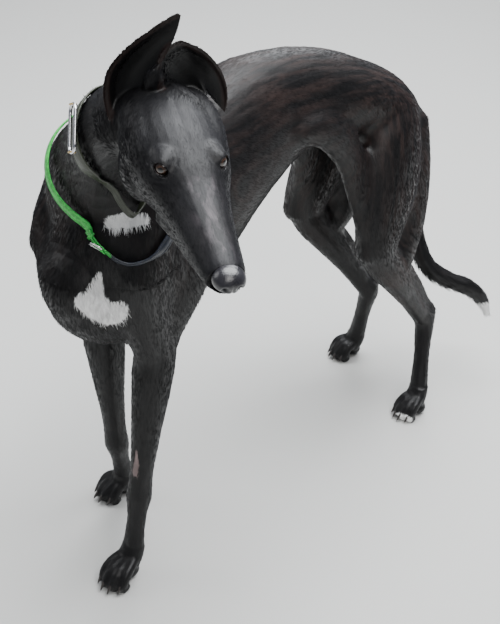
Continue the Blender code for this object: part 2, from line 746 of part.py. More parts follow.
def open_eye(head, sign):
    """Cut the socket and the almond between the lids."""
    axis = eye_axis(sign)
    centre = eye_centre(sign)
    socket = blob("socket", centre, (EYE_RADIUS + GAP,) * 3, axis=axis, segments=EYE_SEGMENTS)
    boolean(head, socket, "DIFFERENCE")
    drop(socket)
    side, forward, up = EYE_INNER
    inner = head_point(sign * side, forward, up) - HEAD_ORIGIN
    along = (inner - axis * inner.dot(axis)).normalized()
    across = axis.cross(along)
    rings = []
    for depth, scale in ((EYE_RADIUS * 0.35, 0.80), (EYE_RADIUS * 2.2, 1.25)):
        ring = []
        for step in range(24):
            angle = 2 * math.pi * step / 24
            wide = EYE_OPENING[0] * math.cos(angle)
            high = EYE_OPENING[1] * math.sin(angle) * abs(math.sin(angle)) ** 0.35
            ring.append(centre + axis * depth + along * wide * scale + across * high * scale)
        rings.append(ring)
    almond = skin_rings("almond", rings)
    boolean(head, almond, "DIFFERENCE")
    drop(almond)


def leaf(name, rows, across_steps=6):
    """Curved ear shell. A row holds its two rim points in the head's frame and the depth of the cup."""
    facing = (head_point(*EAR_FACING) - HEAD_ORIGIN).normalized()
    rings = []
    for sample in catmull_rom(rows, EAR_STEPS):
        outer = head_point(*sample[:3])
        inner = head_point(*sample[3:6])
        near, far = [], []
        for step in range(across_steps + 1):
            s = 2 * step / across_steps - 1
            half = EAR_THICKNESS * 0.5 * max(0.4, 1 - abs(s) ** 4)
            place = outer.lerp(inner, (s + 1) / 2) - facing * sample[6] * (1 - s * s)
            near.append(place + facing * half)
            far.append(place - facing * half)
        rings.append(near + far[::-1])
    return grid_shell(name, rings)


def grid_shell(name, rings):
    """Closed mesh over flat rings, triangulated alike on both faces."""
    thing = skin_rings(name, rings)
    work = bmesh.new()
    work.from_mesh(thing.data)
    bmesh.ops.triangulate(work, faces=work.faces, quad_method="SHORT_EDGE")
    work.to_mesh(thing.data)
    work.free()
    face_out(thing)
    return thing


def loop_on(surface, centre, axis, clearance):
    """Closed loop round a body of flesh: a point and its outward direction at each step."""
    tree = BVHTree.FromObject(surface, bpy.context.evaluated_depsgraph_get())
    normal = Vector(axis).normalized()
    right = normal.orthogonal().normalized()
    ahead = normal.cross(right)
    middle = Vector(centre)
    spokes, radii, lifts = [], [], []
    for step in range(LOOP_STEPS):
        angle = 2 * math.pi * step / LOOP_STEPS
        spoke = right * math.cos(angle) + ahead * math.sin(angle)
        hit, lift = tree.ray_cast(middle + spoke * LOOP_REACH, -spoke)[:2]
        spokes.append(spoke)
        radii.append((hit - middle).length)
        lifts.append(lift)
    loop = []
    for index, spoke in enumerate(spokes):
        window = [(index + shift) % LOOP_STEPS for shift in range(-2, 3)]
        near = [radii[place] for place in window]
        radius = 0.5 * max(near) + 0.5 * sum(near) / len(near)
        lift = sum((lifts[place] for place in window), Vector()).normalized()
        loop.append((middle + spoke * radius + lift * clearance, lift))
    return loop


def strap(name, loop, widths, thickness):
    """Flat band along a closed loop, with a width at each step."""
    work = bmesh.new()
    rings = []
    for index, (here, lift) in enumerate(loop):
        run = loop[(index + 1) % len(loop)][0] - loop[index - 1][0]
        edge = run.cross(lift).normalized() * widths[index] * 0.5
        top = lift * thickness
        corners = (here - edge, here + edge, here + edge + top, here - edge + top)
        rings.append([work.verts.new(corner) for corner in corners])
    for first, second in zip(rings, rings[1:] + rings[:1]):
        for corner in range(4):
            after = (corner + 1) % 4
            work.faces.new((first[corner], first[after], second[after], second[corner]))
    return finished(name, work)


def link(name, loop, thickness, place, length, width, wire, aside=0.0, corner_steps=5, sides=8):
    """Wire loop with rounded corners that lies on a strap, at the step nearest to a place."""
    step = min(range(LOOP_STEPS), key=lambda index: (loop[index][0] - Vector(place)).length)
    here, out = loop[step]
    run = loop[(step + 1) % LOOP_STEPS][0] - loop[step - 1][0]
    run = (run - out * run.dot(out)).normalized()
    across = out.cross(run)
    middle = here + out * (thickness + wire + LINK_GAP) + across * aside
    corner = min(length, width) * 0.5 - wire
    path = []
    for quarter, (run_sign, across_sign) in enumerate(((1, 1), (-1, 1), (-1, -1), (1, -1))):
        base = (middle + run * run_sign * (length * 0.5 - wire - corner)
                + across * across_sign * (width * 0.5 - wire - corner))
        for step in range(corner_steps + 1):
            angle = math.pi * 0.5 * (quarter + step / corner_steps)
            spoke = run * math.cos(angle) + across * math.sin(angle)
            path.append((base + spoke * corner, spoke))
    work = bmesh.new()
    rings = []
    for centre, spoke in path:
        ring = []
        for side in range(sides):
            angle = 2 * math.pi * side / sides
            ring.append(work.verts.new(centre + (spoke * math.cos(angle) + out * math.sin(angle)) * wire))
        rings.append(ring)
    for first, second in zip(rings, rings[1:] + rings[:1]):
        for side in range(sides):
            after = (side + 1) % sides
            work.faces.new((first[side], first[after], second[after], second[side]))
    bmesh.ops.remove_doubles(work, verts=work.verts, dist=MERGE)
    return finished(name, work)


def make_collars(body):
    """Both collars with the ring of the upper one and the buckle of the lower one."""
    nodes = {}
    nape = Vector(NAPE).normalized()
    centre, axis = UPPER_COLLAR
    loop = loop_on(body, centre, axis, STRAP_CLEARANCE)
    widths = []
    for point, lift in loop:
        share = (point - Vector(centre)).normalized().dot(nape)
        share = min(1.0, max(0.0, (share - NAPE_START) / NAPE_FADE))
        widths.append(UPPER_STRAP_WIDTH + (UPPER_STRAP_NAPE - UPPER_STRAP_WIDTH) * share)
    nodes["collar_upper"] = strap("collar_upper", loop, widths, UPPER_STRAP_THICKNESS)
    nodes["collar_ring"] = link("collar_ring", loop, UPPER_STRAP_THICKNESS, RING_PLACE,
                                RING_LENGTH, RING_WIDTH, RING_WIRE, RING_ASIDE)
    centre, axis = LOWER_COLLAR
    loop = loop_on(body, centre, axis, STRAP_CLEARANCE)
    widths = [LOWER_STRAP_WIDTH] * LOOP_STEPS
    nodes["collar_lower"] = strap("collar_lower", loop, widths, LOWER_STRAP_THICKNESS)
    nodes["collar_buckle"] = link("collar_buckle", loop, LOWER_STRAP_THICKNESS, BUCKLE_PLACE,
                                  BUCKLE_LENGTH, BUCKLE_WIDTH, BUCKLE_WIRE, 0.0, 3, 6)
    for name in ("collar_upper", "collar_lower"):
        trim(nodes[name], body, STRAP_GAP)
        trim(nodes[name], body, 0.0)
    return nodes


def paint(thing, name, colour, roughness, metallic=0.0):
    """Own material of a node."""
    material = bpy.data.materials.new(name)
    material.use_nodes = True
    shader = material.node_tree.nodes["Principled BSDF"]
    shader.inputs["Base Color"].default_value = (*colour, 1)
    shader.inputs["Roughness"].default_value = roughness
    shader.inputs["Metallic"].default_value = metallic
    thing.data.materials.clear()
    thing.data.materials.append(material)


def clear_scene():
    """Remove what the scene holds."""
    for thing in list(bpy.data.objects):
        bpy.data.objects.remove(thing, do_unlink=True)


def prism(name, outline, span, grow=0.0):
    """Cutter with an outline across the dog, between two y."""
    work = bmesh.new()
    ends = []
    for y in (span[0] - grow, span[1] + grow):
        ends.append([work.verts.new((x, y, z)) for x, z in offset_outline(outline, grow)])
    count = len(outline)
    work.faces.new(ends[0])
    work.faces.new(ends[1])
    for index in range(count):
        after = (index + 1) % count
        work.faces.new((ends[0][index], ends[0][after], ends[1][after], ends[1][index]))
    return finished(name, work)


def offset_outline(outline, grow):
    """Outline moved out by a small distance along its corners."""
    points = [Vector(point) for point in outline]
    count = len(points)
    area = sum(points[i].cross(points[(i + 1) % count]) for i in range(count))
    turn = 1 if area > 0 else -1
    moved = []
    for index, point in enumerate(points):
        before = (point - points[index - 1]).normalized()
        after = (points[(index + 1) % count] - point).normalized()
        first = Vector((before.y, -before.x)) * turn
        second = Vector((after.y, -after.x)) * turn
        corner = (first + second) / (1 + first.dot(second))
        moved.append(point + corner * grow)
    return moved


def part_with(body, name, make_cutter):
    """Part one node from the flesh with a cutter, leaving the thin gap."""
    cutter = make_cutter(0.0)
    piece = copy_of(body, name)
    boolean(piece, cutter, "INTERSECT")
    drop(cutter)
    wide = make_cutter(GAP)
    boolean(body, wide, "DIFFERENCE")
    drop(wide)
    keep_largest(piece)
    keep_largest(body)
    return piece


def trim(thing, other, gap=GAP):
    """Cut a piece clear of another one, by a thin gap. The exact solver misses part of this cut."""
    grown = copy_of(other, "grown", gap)
    boolean(thing, grown, "DIFFERENCE", ("MANIFOLD", "EXACT"))
    drop(grown)
    keep_largest(thing)


def box_from(corner_centre, axis_z, size, axis_x=(1, 0, 0)):
    """Maker of a box that stands on a plane."""
    up = Vector(axis_z).normalized()

    def make(grow):
        return block("cutter", Vector(corner_centre) + up * size[2] * 0.5, size, axis_x, up, grow)

    return make


def make_nose(head):
    """Nose pad with its nostrils, parted from the muzzle by a block."""
    forms = [
        blob("pad", head_point(0, 0.2600, -0.0510), (0.0180, 0.0145, 0.0150),
             axis=HEAD_FORWARD, side=HEAD_LEFT),
        blob("bridge", head_point(0, 0.2530, -0.0490), (0.0178, 0.0115, 0.0120),
             axis=HEAD_FORWARD, side=HEAD_LEFT),
    ]
    for sign in (1, -1):
        forms.append(blob("wing", head_point(sign * 0.0100, 0.2640, -0.0535), (0.0082, 0.0082, 0.0095),
                          axis=HEAD_FORWARD, side=HEAD_LEFT))
    nose = fuse("nose", forms, 0.0012, 3)
    for sign in (1, -1):
        for side, forward, up, size in ((0.0072, 0.2760, -0.0520, 0.0036), (0.0132, 0.2710, -0.0545, 0.0024)):
            hole = blob("nostril", head_point(sign * side, forward, up), (size, size * 0.9, 0.0070),
                        axis=HEAD_FORWARD, side=HEAD_LEFT)
            boolean(nose, hole, "DIFFERENCE")
            drop(hole)
    thin_out(nose, BUDGET["nose"])

    def make(grow):
        centre = head_point(0, NOSE_BACK + 0.02, NOSE_BASE + 0.03)
        return block("cutter", centre, (0.06, 0.06, 0.04), HEAD_LEFT, HEAD_FORWARD, grow)

    cutter = make(0.0)
    boolean(nose, cutter, "INTERSECT")
    drop(cutter)
    wide = make(GAP)
    boolean(head, wide, "DIFFERENCE")
    drop(wide)
    keep_largest(nose)
    keep_largest(head)
    return nose


def stand_at_origin(nodes):
    """Move the dog so that the middle of the bottom of its bounding box is the origin."""
    corners = [vert.co for thing in nodes.values() for vert in thing.data.vertices]
    low = Vector([min(corner[axis] for corner in corners) for axis in range(3)])
    high = Vector([max(corner[axis] for corner in corners) for axis in range(3)])
    shift = Vector((-(low.x + high.x) / 2, -(low.y + high.y) / 2, -low.z))
    for thing in nodes.values():
        thing.data.transform(Matrix.Translation(shift))
    return shift


def build():
    """Every node of the dog by name, and how far it was moved to stand at the origin."""
    clear_scene()
    nodes = {}
    body_forms = trunk_forms() + neck_forms()
    for side in ("left", "right"):
        body_forms += foreleg_forms(side) + hindleg_forms(side)
    body = fuse("torso", body_forms, BODY_VOXEL, 12)
    soften(body, SOFT_LEVEL, SOFT_ROUNDS)
    thin_out(body, BUDGET["body"])
    tail = fuse("tail_upper", tail_forms(), 0.003, 3)
    thin_out(tail, BUDGET["tail"])
    trim(tail, body)

    nodes.update(make_collars(body))

    head = fuse("head", head_forms() + neck_forms(first=3), HEAD_VOXEL, 9)
    carve_mouth(head)
    thin_out(head, BUDGET["head"])
    head_box = box_from(head_point(0, -0.002, -0.045), HEAD_FORWARD, (0.20, 0.22, 0.32), HEAD_LEFT)
    cutter = head_box(0.0)
    boolean(head, cutter, "INTERSECT")
    drop(cutter)
    keep_largest(head)
    wide = head_box(GAP)
    boolean(body, wide, "DIFFERENCE")
    drop(wide)
    keep_largest(body)
    nodes["head"] = head
    nodes["nose"] = make_nose(head)

    for sign, side in ((1, "left"), (-1, "right")):
        open_eye(head, sign)
        nodes[f"eye_{side}"] = blob(
            f"eye_{side}", eye_centre(sign), (EYE_RADIUS,) * 3, axis=eye_axis(sign), segments=EYE_SEGMENTS)
        ear = leaf(f"ear_{side}", EAR[side])
        trim(ear, head)
        trim(ear, body)
        nodes[f"ear_{side}"] = ear
    trim(nodes["ear_left"], nodes["ear_right"], GAP * 2)
    keep_largest(head)

    nodes["neck"] = part_with(body, "neck", box_from(NECK_CUT, NECK_CUT_AXIS, (0.40, 0.40, 0.30)))
    for side in ("left", "right"):
        for kind, legs, outline, span in (("fore", FORE, FORELEG_OUTLINE, FORELEG_SPAN),
                                          ("hind", HIND, HINDLEG_OUTLINE, HINDLEG_SPAN)):
            leg = part_with(body, f"{kind}leg_{side}",
                            lambda grow: prism("cutter", outline[side], span, grow))
            below = block("below", (0, 0.3, PAW_CUT_HEIGHT - 0.5), (3, 3, 1), grow=GAP)
            boolean(leg, below, "DIFFERENCE")
            drop(below)
            keep_largest(leg)
            nodes[f"{kind}leg_{side}"] = leg
            name = f"{kind}paw_{side}"
            paw = fuse(name, paw_forms(name, legs[side], *PAW_SIZES[kind]), PAW_VOXEL, 3)
            thin_out(paw, BUDGET[f"{kind}paw"])
            slab = block("slab", (0, 0.3, PAW_CUT_HEIGHT * 0.5), (3, 3, PAW_CUT_HEIGHT))
            boolean(paw, slab, "INTERSECT")
            drop(slab)
            keep_largest(paw)
            nodes[name] = paw
    nodes["torso"] = body
    lower = part_with(tail, "tail_lower", box_from(TAIL_CUT, (0.2, 0.25, -1), (0.4, 0.5, 0.4)))
    nodes["tail_upper"] = tail
    nodes["tail_lower"] = lower
    shift = stand_at_origin(nodes)
    for name, thing in nodes.items():
        thing.name = name
        thing.data.name = name
        face_out(thing)
        thing.data.shade_smooth()
        thing.data.set_sharp_from_angle(angle=math.radians(SHARP_ANGLE))
        key = name if name in FINISH else name.split("_")[0]
        paint(thing, name, *FINISH[key])
    return nodes, shift


FINISH = {
    "torso": ((0.020, 0.018, 0.020), 0.45),
    "neck": ((0.020, 0.018, 0.020), 0.45),
    "head": ((0.025, 0.025, 0.030), 0.45),
    "nose": ((0.05, 0.05, 0.06), 0.30),
    "ear": ((0.020, 0.016, 0.016), 0.55),
    "eye": ((0.10, 0.035, 0.012), 0.05),
    "foreleg": ((0.020, 0.018, 0.020), 0.45),
    "forepaw": ((0.020, 0.018, 0.020), 0.50),
    "hindleg": ((0.022, 0.018, 0.018), 0.45),
    "hindpaw": ((0.022, 0.018, 0.018), 0.50),
    "tail": ((0.020, 0.018, 0.018), 0.50),
    "collar_upper": ((0.060, 0.070, 0.035), 0.50),
    "collar_lower": ((0.050, 0.420, 0.080), 0.45),
    "collar_ring": ((0.75, 0.75, 0.76), 0.15, 1.0),
    "collar_buckle": ((0.70, 0.70, 0.70), 0.20, 1.0),
}

NODES, SHIFT = build()
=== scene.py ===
import math

import bmesh
import bpy
import numpy as np
from mathutils import Matrix, Vector
from mathutils.bvhtree import BVHTree


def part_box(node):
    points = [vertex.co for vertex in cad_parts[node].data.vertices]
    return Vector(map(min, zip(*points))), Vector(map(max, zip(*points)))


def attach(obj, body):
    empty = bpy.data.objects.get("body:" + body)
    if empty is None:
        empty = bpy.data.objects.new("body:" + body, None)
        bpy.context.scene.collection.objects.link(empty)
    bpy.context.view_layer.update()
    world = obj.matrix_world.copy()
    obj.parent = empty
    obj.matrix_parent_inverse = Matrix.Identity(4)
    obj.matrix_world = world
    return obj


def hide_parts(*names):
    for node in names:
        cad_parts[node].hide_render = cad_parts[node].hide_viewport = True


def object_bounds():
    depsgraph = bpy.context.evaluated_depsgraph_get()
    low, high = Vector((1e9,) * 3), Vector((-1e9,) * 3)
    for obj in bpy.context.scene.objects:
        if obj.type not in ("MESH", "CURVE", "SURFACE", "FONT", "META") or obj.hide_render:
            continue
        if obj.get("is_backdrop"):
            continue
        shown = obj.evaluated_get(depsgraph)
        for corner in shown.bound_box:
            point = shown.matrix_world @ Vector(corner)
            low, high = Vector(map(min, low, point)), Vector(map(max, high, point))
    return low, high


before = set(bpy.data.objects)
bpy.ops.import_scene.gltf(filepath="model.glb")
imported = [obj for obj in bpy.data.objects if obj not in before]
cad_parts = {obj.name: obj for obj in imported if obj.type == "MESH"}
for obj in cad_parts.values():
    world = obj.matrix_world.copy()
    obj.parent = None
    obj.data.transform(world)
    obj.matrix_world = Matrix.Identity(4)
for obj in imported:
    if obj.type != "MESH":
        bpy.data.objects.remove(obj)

bl_info = {
    "name": "Greyhound",
    "version": (1, 0, 0),
    "blender": (4, 5, 0),
    "location": "View3D > Sidebar > Greyhound",
    "description": "A standing greyhound with a short glossy coat, two collars and a plain stage",
    "category": "Object",
}

CAD_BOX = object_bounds()
SIDES = ((1, "left"), (-1, "right"))

# The head's own axes, and the eye's place in them: to the left, forward and up from the occiput
HEAD_LEFT = Vector((0.508, 0.861, -0.006)).normalized()
HEAD_FORWARD = Vector((0.8185, -0.4850, -0.2900)).normalized()
HEAD_UP = HEAD_LEFT.cross(-HEAD_FORWARD).normalized()
EYE = Vector((0.0300, 0.1150, -0.0240))
EYE_DIRECTION = Vector((0.56, 0.78, 0.28))
EYE_INNER = Vector((-0.76, 0.54, -0.36))


def middle_of(node):
    """Middle of a node's box."""
    low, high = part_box(node)
    return (low + high) / 2


def in_head(side, forward, up):
    """Direction given in the head's axes."""
    return HEAD_LEFT * side + HEAD_FORWARD * forward + HEAD_UP * up


HEAD_ORIGIN = (middle_of("eye_left") + middle_of("eye_right")) / 2 - in_head(0, EYE.y, EYE.z)
SHIFT = HEAD_ORIGIN - Vector((0.112, -0.093, 0.846))


def at(x, y, z):
    """Place given in the frame that the dog was drawn in."""
    return Vector((x, y, z)) + SHIFT


def head_at(side, forward, up):
    """Place given in the head's axes."""
    return HEAD_ORIGIN + in_head(side, forward, up)


# Chains along the bones that the coat lies along: each one from where the hair starts
CHAINS = {
    "muzzle": (head_at(0, 0.275, -0.050), head_at(0, 0.200, -0.052), head_at(0, 0.120, -0.045),
               head_at(0, 0.050, -0.045), head_at(0, -0.020, -0.050)),
    "neck": (at(0.105, -0.100, 0.792), at(0.060, -0.092, 0.765), at(0.010, -0.070, 0.720),
             at(-0.030, -0.035, 0.660)),
    "back": (at(-0.040, 0.000, 0.640), at(-0.050, 0.140, 0.640), at(-0.053, 0.280, 0.640),
             at(-0.040, 0.400, 0.630), at(-0.012, 0.530, 0.600), at(0.000, 0.600, 0.570)),
    "keel": (at(-0.020, -0.100, 0.560), at(-0.030, -0.085, 0.470), at(-0.045, 0.040, 0.400),
             at(-0.052, 0.160, 0.430), at(-0.055, 0.320, 0.500)),
    "tail": (at(0.000, 0.620, 0.560), at(-0.002, 0.688, 0.465), at(-0.001, 0.700, 0.382),
             at(0.015, 0.696, 0.300), at(0.047, 0.702, 0.234), at(0.080, 0.730, 0.202),
             at(0.108, 0.758, 0.186), at(0.128, 0.786, 0.155), at(0.138, 0.806, 0.112)),
    "foreleg_left": (at(-0.010, -0.010, 0.660), at(0.030, -0.035, 0.548), at(0.016, 0.005, 0.380),
                     at(0.015, -0.031, 0.136), at(0.019, -0.048, 0.046), at(0.022, -0.100, 0.012)),
    "foreleg_right": (at(-0.078, -0.010, 0.660), at(-0.115, -0.030, 0.548), at(-0.095, 0.010, 0.380),
                      at(-0.096, 0.036, 0.136), at(-0.111, 0.066, 0.046), at(-0.126, 0.035, 0.012)),
    "hindleg_left": (at(0.050, 0.520, 0.560), at(0.075, 0.490, 0.380), at(0.093, 0.640, 0.162),
                     at(0.123, 0.598, 0.044), at(0.133, 0.549, 0.012)),
    "hindleg_right": (at(-0.072, 0.540, 0.560), at(-0.104, 0.510, 0.380), at(-0.037, 0.650, 0.165),
                      at(-0.062, 0.664, 0.044), at(-0.082, 0.624, 0.012)),
}

# White hair: start and end of each lobe of a patch, and its radius at both
WHITE = (
    (at(0.0093, -0.0962, 0.5500), at(0.0080, -0.1040, 0.5270), 0.0030, 0.0120),
    (at(0.0040, -0.1140, 0.5130), at(0.0110, -0.1010, 0.4990), 0.0165, 0.0200),
    (at(0.0110, -0.1010, 0.4990), at(0.0200, -0.0880, 0.4860), 0.0200, 0.0180),
    (at(0.0285, -0.0815, 0.4970), at(0.0230, -0.0815, 0.4820), 0.0130, 0.0140),
    (at(0.0110, -0.0770, 0.6180), at(0.0250, -0.0650, 0.6200), 0.0080, 0.0110),
    (at(0.0250, -0.0650, 0.6200), at(0.0420, -0.0490, 0.6230), 0.0110, 0.0080),
    (at(0.0360, -0.0800, 0.6400), at(0.0420, -0.0640, 0.6300), 0.0080, 0.0080),
    (at(0.1340, 0.7830, 0.1380), at(0.1390, 0.8080, 0.1080), 0.0150, 0.0220),
    (at(0.1230, 0.5400, 0.0090), at(0.1380, 0.5480, 0.0080), 0.0095, 0.0085),
)
# Bare pinkish skin: start, end and both radii
BARE = (
    (at(0.0161, -0.0376, 0.2280), at(0.0175, -0.0392, 0.2050), 0.0018, 0.0045),
    (at(0.0175, -0.0392, 0.2050), at(0.0165, -0.0410, 0.1860), 0.0045, 0.0060),
    (at(0.0080, -0.0380, 0.1880), at(0.0084, -0.0380, 0.1860), 0.0015, 0.0015),
)
# Where the coat has a brown tint with a painted brown sheen, and where it is charcoal hair with a painted blue-grey
# sheen on top of the skull and muzzle: centre, radius
BROWN = (
    (at(-0.02, 0.30, 0.72), 0.16), (at(0.02, 0.50, 0.62), 0.17), (at(0.09, 0.60, 0.48), 0.15),
    (at(-0.10, 0.55, 0.50), 0.17), (at(-0.09, -0.03, 0.64), 0.10), (at(0.09, 0.56, 0.30), 0.10),
    (at(-0.14, 0.10, 0.60), 0.14), (at(0.04, 0.10, 0.62), 0.12),
)
CHARCOAL_AND_PAINTED_SHEEN = (
    (head_at(0, 0.060, 0.000), 0.070), (head_at(0, 0.175, -0.030), 0.050), (head_at(0, 0.235, -0.036), 0.034),
)
# Grey hairs on the bridge of the muzzle, partly a painted pale sheen there: centre, radius
PALE_HAIR_AND_SHEEN = (
    (head_at(0.002, 0.170, -0.024), 0.013), (head_at(-0.002, 0.190, -0.028), 0.013),
    (head_at(-0.001, 0.212, -0.032), 0.012), (head_at(0.004, 0.234, -0.038), 0.010),
    (head_at(0.011, 0.150, -0.024), 0.010), (head_at(-0.006, 0.150, -0.023), 0.009),
)

# Mouth line from the tip to the corner: to the side, forward and up
MOUTH = (
    (0.000, 0.2620, -0.0660),
    (0.014, 0.2560, -0.0670),
    (0.0225, 0.2320, -0.0710),
    (0.0275, 0.1920, -0.0770),
    (0.0335, 0.1560, -0.0840),
    (0.0410, 0.1280, -0.0890),
)

# Ears: the two rims in the head's axes and the depth of the cup, from the base to the tip
EAR_FACING = (-0.25, 0.75, 0.61)
EAR = {
    "right": (
        (-0.060, 0.016, -0.046, -0.026, 0.022, -0.022, 0.010),
        (-0.068, 0.006, -0.020, -0.018, 0.016, -0.002, 0.013),
        (-0.066, 0.000, 0.012, -0.010, 0.009, 0.016, 0.014),
        (-0.049, -0.003, 0.038, 0.000, 0.004, 0.032, 0.011),
        (-0.027, -0.004, 0.057, 0.008, 0.000, 0.049, 0.007),
        (-0.007, -0.003, 0.074, 0.012, -0.001, 0.067, 0.003),
        (0.008, -0.002, 0.084, 0.0135, -0.002, 0.080, 0.001),
    ),
    "left": (
        (-0.004, 0.026, -0.014, 0.053, 0.018, -0.050, 0.010),
        (-0.010, 0.014, 0.008, 0.053, 0.014, -0.036, 0.015),
        (-0.009, 0.004, 0.032, 0.051, 0.012, -0.026, 0.018),
        (0.013, -0.004, 0.045, 0.050, 0.012, -0.021, 0.016),
        (0.031, -0.006, 0.038, 0.053, 0.012, -0.023, 0.012),
        (0.050, -0.004, 0.026, 0.059, 0.012, -0.030, 0.008),
        (0.068, 0.000, 0.004, 0.066, 0.012, -0.039, 0.005),
        (0.077, 0.006, -0.018, 0.071, 0.013, -0.045, 0.003),
        (0.079, 0.012, -0.042, 0.075, 0.014, -0.050, 0.001),
    ),
}

for side, rows in EAR.items():
    middles = [[(row[axis] + row[axis + 3]) / 2 for axis in range(3)] for row in rows]
    CHAINS["ear_" + side] = tuple(head_at(*middle) for middle in middles)
EARS = {}

UPPER_COLLAR = (at(0.024, -0.090, 0.705), Vector((0.935, 0.16, 0.315)).normalized())
LOWER_COLLAR = (at(0.004, -0.052, 0.632), Vector((0.66, -0.48, 0.58)).normalized())
NAPE = Vector((0.0, -0.25, 0.97)).normalized()
LOOP_STEPS = 144
LOOPS = {}


# shapes

def deselect():
    """Leave nothing selected."""
    for thing in bpy.context.selected_objects:
        thing.select_set(False)


def activate(thing):
    """Make one object the selected and active one."""
    deselect()
    thing.select_set(True)
    bpy.context.view_layer.objects.active = thing


def points_of(mesh):
    """Vertices of a mesh as an array."""
    points = np.empty(len(mesh.vertices) * 3, np.float32)
    mesh.vertices.foreach_get("co", points)
    return points.reshape(-1, 3).astype(float)


def normals_of(mesh):
    """Vertex normals of a mesh as an array."""
    normals = np.empty(len(mesh.vertices) * 3, np.float32)
    mesh.vertex_normals.foreach_get("vector", normals)
    return normals.reshape(-1, 3).astype(float)


def edges_of(mesh):
    """Edges of a mesh as an array of vertex pairs."""
    edges = np.empty(len(mesh.edges) * 2, np.int32)
    mesh.edges.foreach_get("vertices", edges)
    return edges.reshape(-1, 2)


def set_points(mesh, points):
    """Move the vertices of a mesh."""
    mesh.vertices.foreach_set("co", points.astype(np.float32).ravel())
    mesh.update()


def mesh_object(name, points, faces):
    """Object made of points and faces."""
    mesh = bpy.data.meshes.new(name)
    mesh.from_pydata([tuple(point) for point in points], [], [tuple(face) for face in faces])
    mesh.update()
    thing = bpy.data.objects.new(name, mesh)
    bpy.context.scene.collection.objects.link(thing)
    return thing


def face_out(thing):
    """Turn the faces of a closed shape outwards."""
    work = bmesh.new()
    work.from_mesh(thing.data)
    bmesh.ops.remove_doubles(work, verts=work.verts, dist=0.00001)
    bmesh.ops.recalc_face_normals(work, faces=work.faces)
    if work.calc_volume(signed=True) < 0:
        bmesh.ops.reverse_faces(work, faces=work.faces)
    work.to_mesh(thing.data)
    work.free()


def shade_smooth(thing):
    """Smooth shading all over."""
    thing.data.polygons.foreach_set("use_smooth", np.ones(len(thing.data.polygons), bool))


def apply_modifier(thing, modifier):
    """Apply a modifier."""
    activate(thing)
    bpy.ops.object.modifier_apply(modifier=modifier.name)


def join(things, name):
    """One object out of several."""
    deselect()
    for thing in things:
        thing.select_set(True)
    bpy.context.view_layer.objects.active = things[0]
    if len(things) > 1:
        bpy.ops.object.join()
    things[0].name = name
    things[0].data.name = name
    return things[0]


def curve_rows(rows, steps):
    """Short table read as a smooth curve with `steps` samples to a span."""
    table = np.array(rows, dtype=float)
    padded = np.vstack([2 * table[0] - table[1], table, 2 * table[-1] - table[-2]])
    samples = []
    for index in range(len(table) - 1):
        before, start, end, after = padded[index:index + 4]
        for step in range(steps):
            t = step / steps
            samples.append(0.5 * (2 * start + (end - before) * t
                                  + (2 * before - 5 * start + 4 * end - after) * t * t
                                  + (3 * start - before - 3 * end + after) * t ** 3))
    samples.append(table[-1])
    return np.array(samples)


def ring_loft(name, rings, closed=False):
    """Closed tube over rings of points, with a fan at each end or joined end to end."""
    count = len(rings[0])
    points = [point for ring in rings for point in ring]
    faces = []
    last = len(rings) if closed else len(rings) - 1
    for index in range(last):
        base = index * count
        after = (index + 1) % len(rings) * count
        for place in range(count):
            there = (place + 1) % count
            faces.append((base + place, base + there, after + there, after + place))
    if not closed:
        for index in (0, len(rings) - 1):
            centre = np.mean(np.array([tuple(point) for point in rings[index]]), axis=0)
            points.append(centre)
            for place in range(count):
                faces.append((index * count + place, index * count + (place + 1) % count, len(points) - 1))
    thing = mesh_object(name, points, faces)
    face_out(thing)
    shade_smooth(thing)
    return thing


def wire(name, path, radius, sides=10, closed=False):
    """Round wire along a path."""
    path = np.array([tuple(point) for point in path])
    count = len(path)
    if closed:
        tangents = np.roll(path, -1, axis=0) - np.roll(path, 1, axis=0)
    else:
        tangents = np.gradient(path, axis=0)
    tangents /= np.linalg.norm(tangents, axis=1)[:, None]
    radii = np.broadcast_to(np.asarray(radius, float), count)
    normal = Vector(tangents[0]).orthogonal().normalized()
    rings = []
    for index in range(count):
        tangent = Vector(tangents[index])
        normal = (normal - tangent * normal.dot(tangent)).normalized()
        side = tangent.cross(normal)
        turns = [2 * math.pi * step / sides for step in range(sides)]
        rings.append([Vector(path[index]) + (normal * math.cos(a) + side * math.sin(a)) * radii[index] for a in turns])
    return ring_loft(name, rings, closed)


def segment_distance(points, start, end):
    """Distance of points to a segment, and how far along it each one is nearest."""
    start, end = np.array(start), np.array(end)
    run = end - start
    along = np.clip((points - start) @ run / (run @ run), 0, 1)
    return np.linalg.norm(points - start - along[:, None] * run, axis=1), along


def smoothstep(low, high, value):
    """Smooth ramp from 0 to 1."""
    t = np.clip((value - low) / (high - low), 0, 1)
    return t * t * (3 - 2 * t)


def in_head_axes(points):
    """Points in the head's axes: to the left, forward and up."""
    axes = np.array([HEAD_LEFT, HEAD_FORWARD, HEAD_UP])
    return (points - np.array(HEAD_ORIGIN)) @ axes.T


# lie of the coat

def bones():
    """Every bone of the chains: start, direction, length and distance along its chain."""
    found = []
    for name, chain in CHAINS.items():
        run = 0.0
        for start, end in zip(chain[:-1], chain[1:]):
            length = (end - start).length
            found.append((name, start, end, (end - start) / length, length, run))
            run += length
    return found


BONES = bones()


def bone_weights(points):
    """How much each bone leads the coat at each point."""
    weights = np.empty((len(BONES), len(points)))
    for index, (name, start, end, direction, length, run) in enumerate(BONES):
        distance = segment_distance(points, start, end)[0]
        weights[index] = 1 / (distance ** 2 + 0.0002) ** 2.6
    return weights / weights.sum(axis=0)


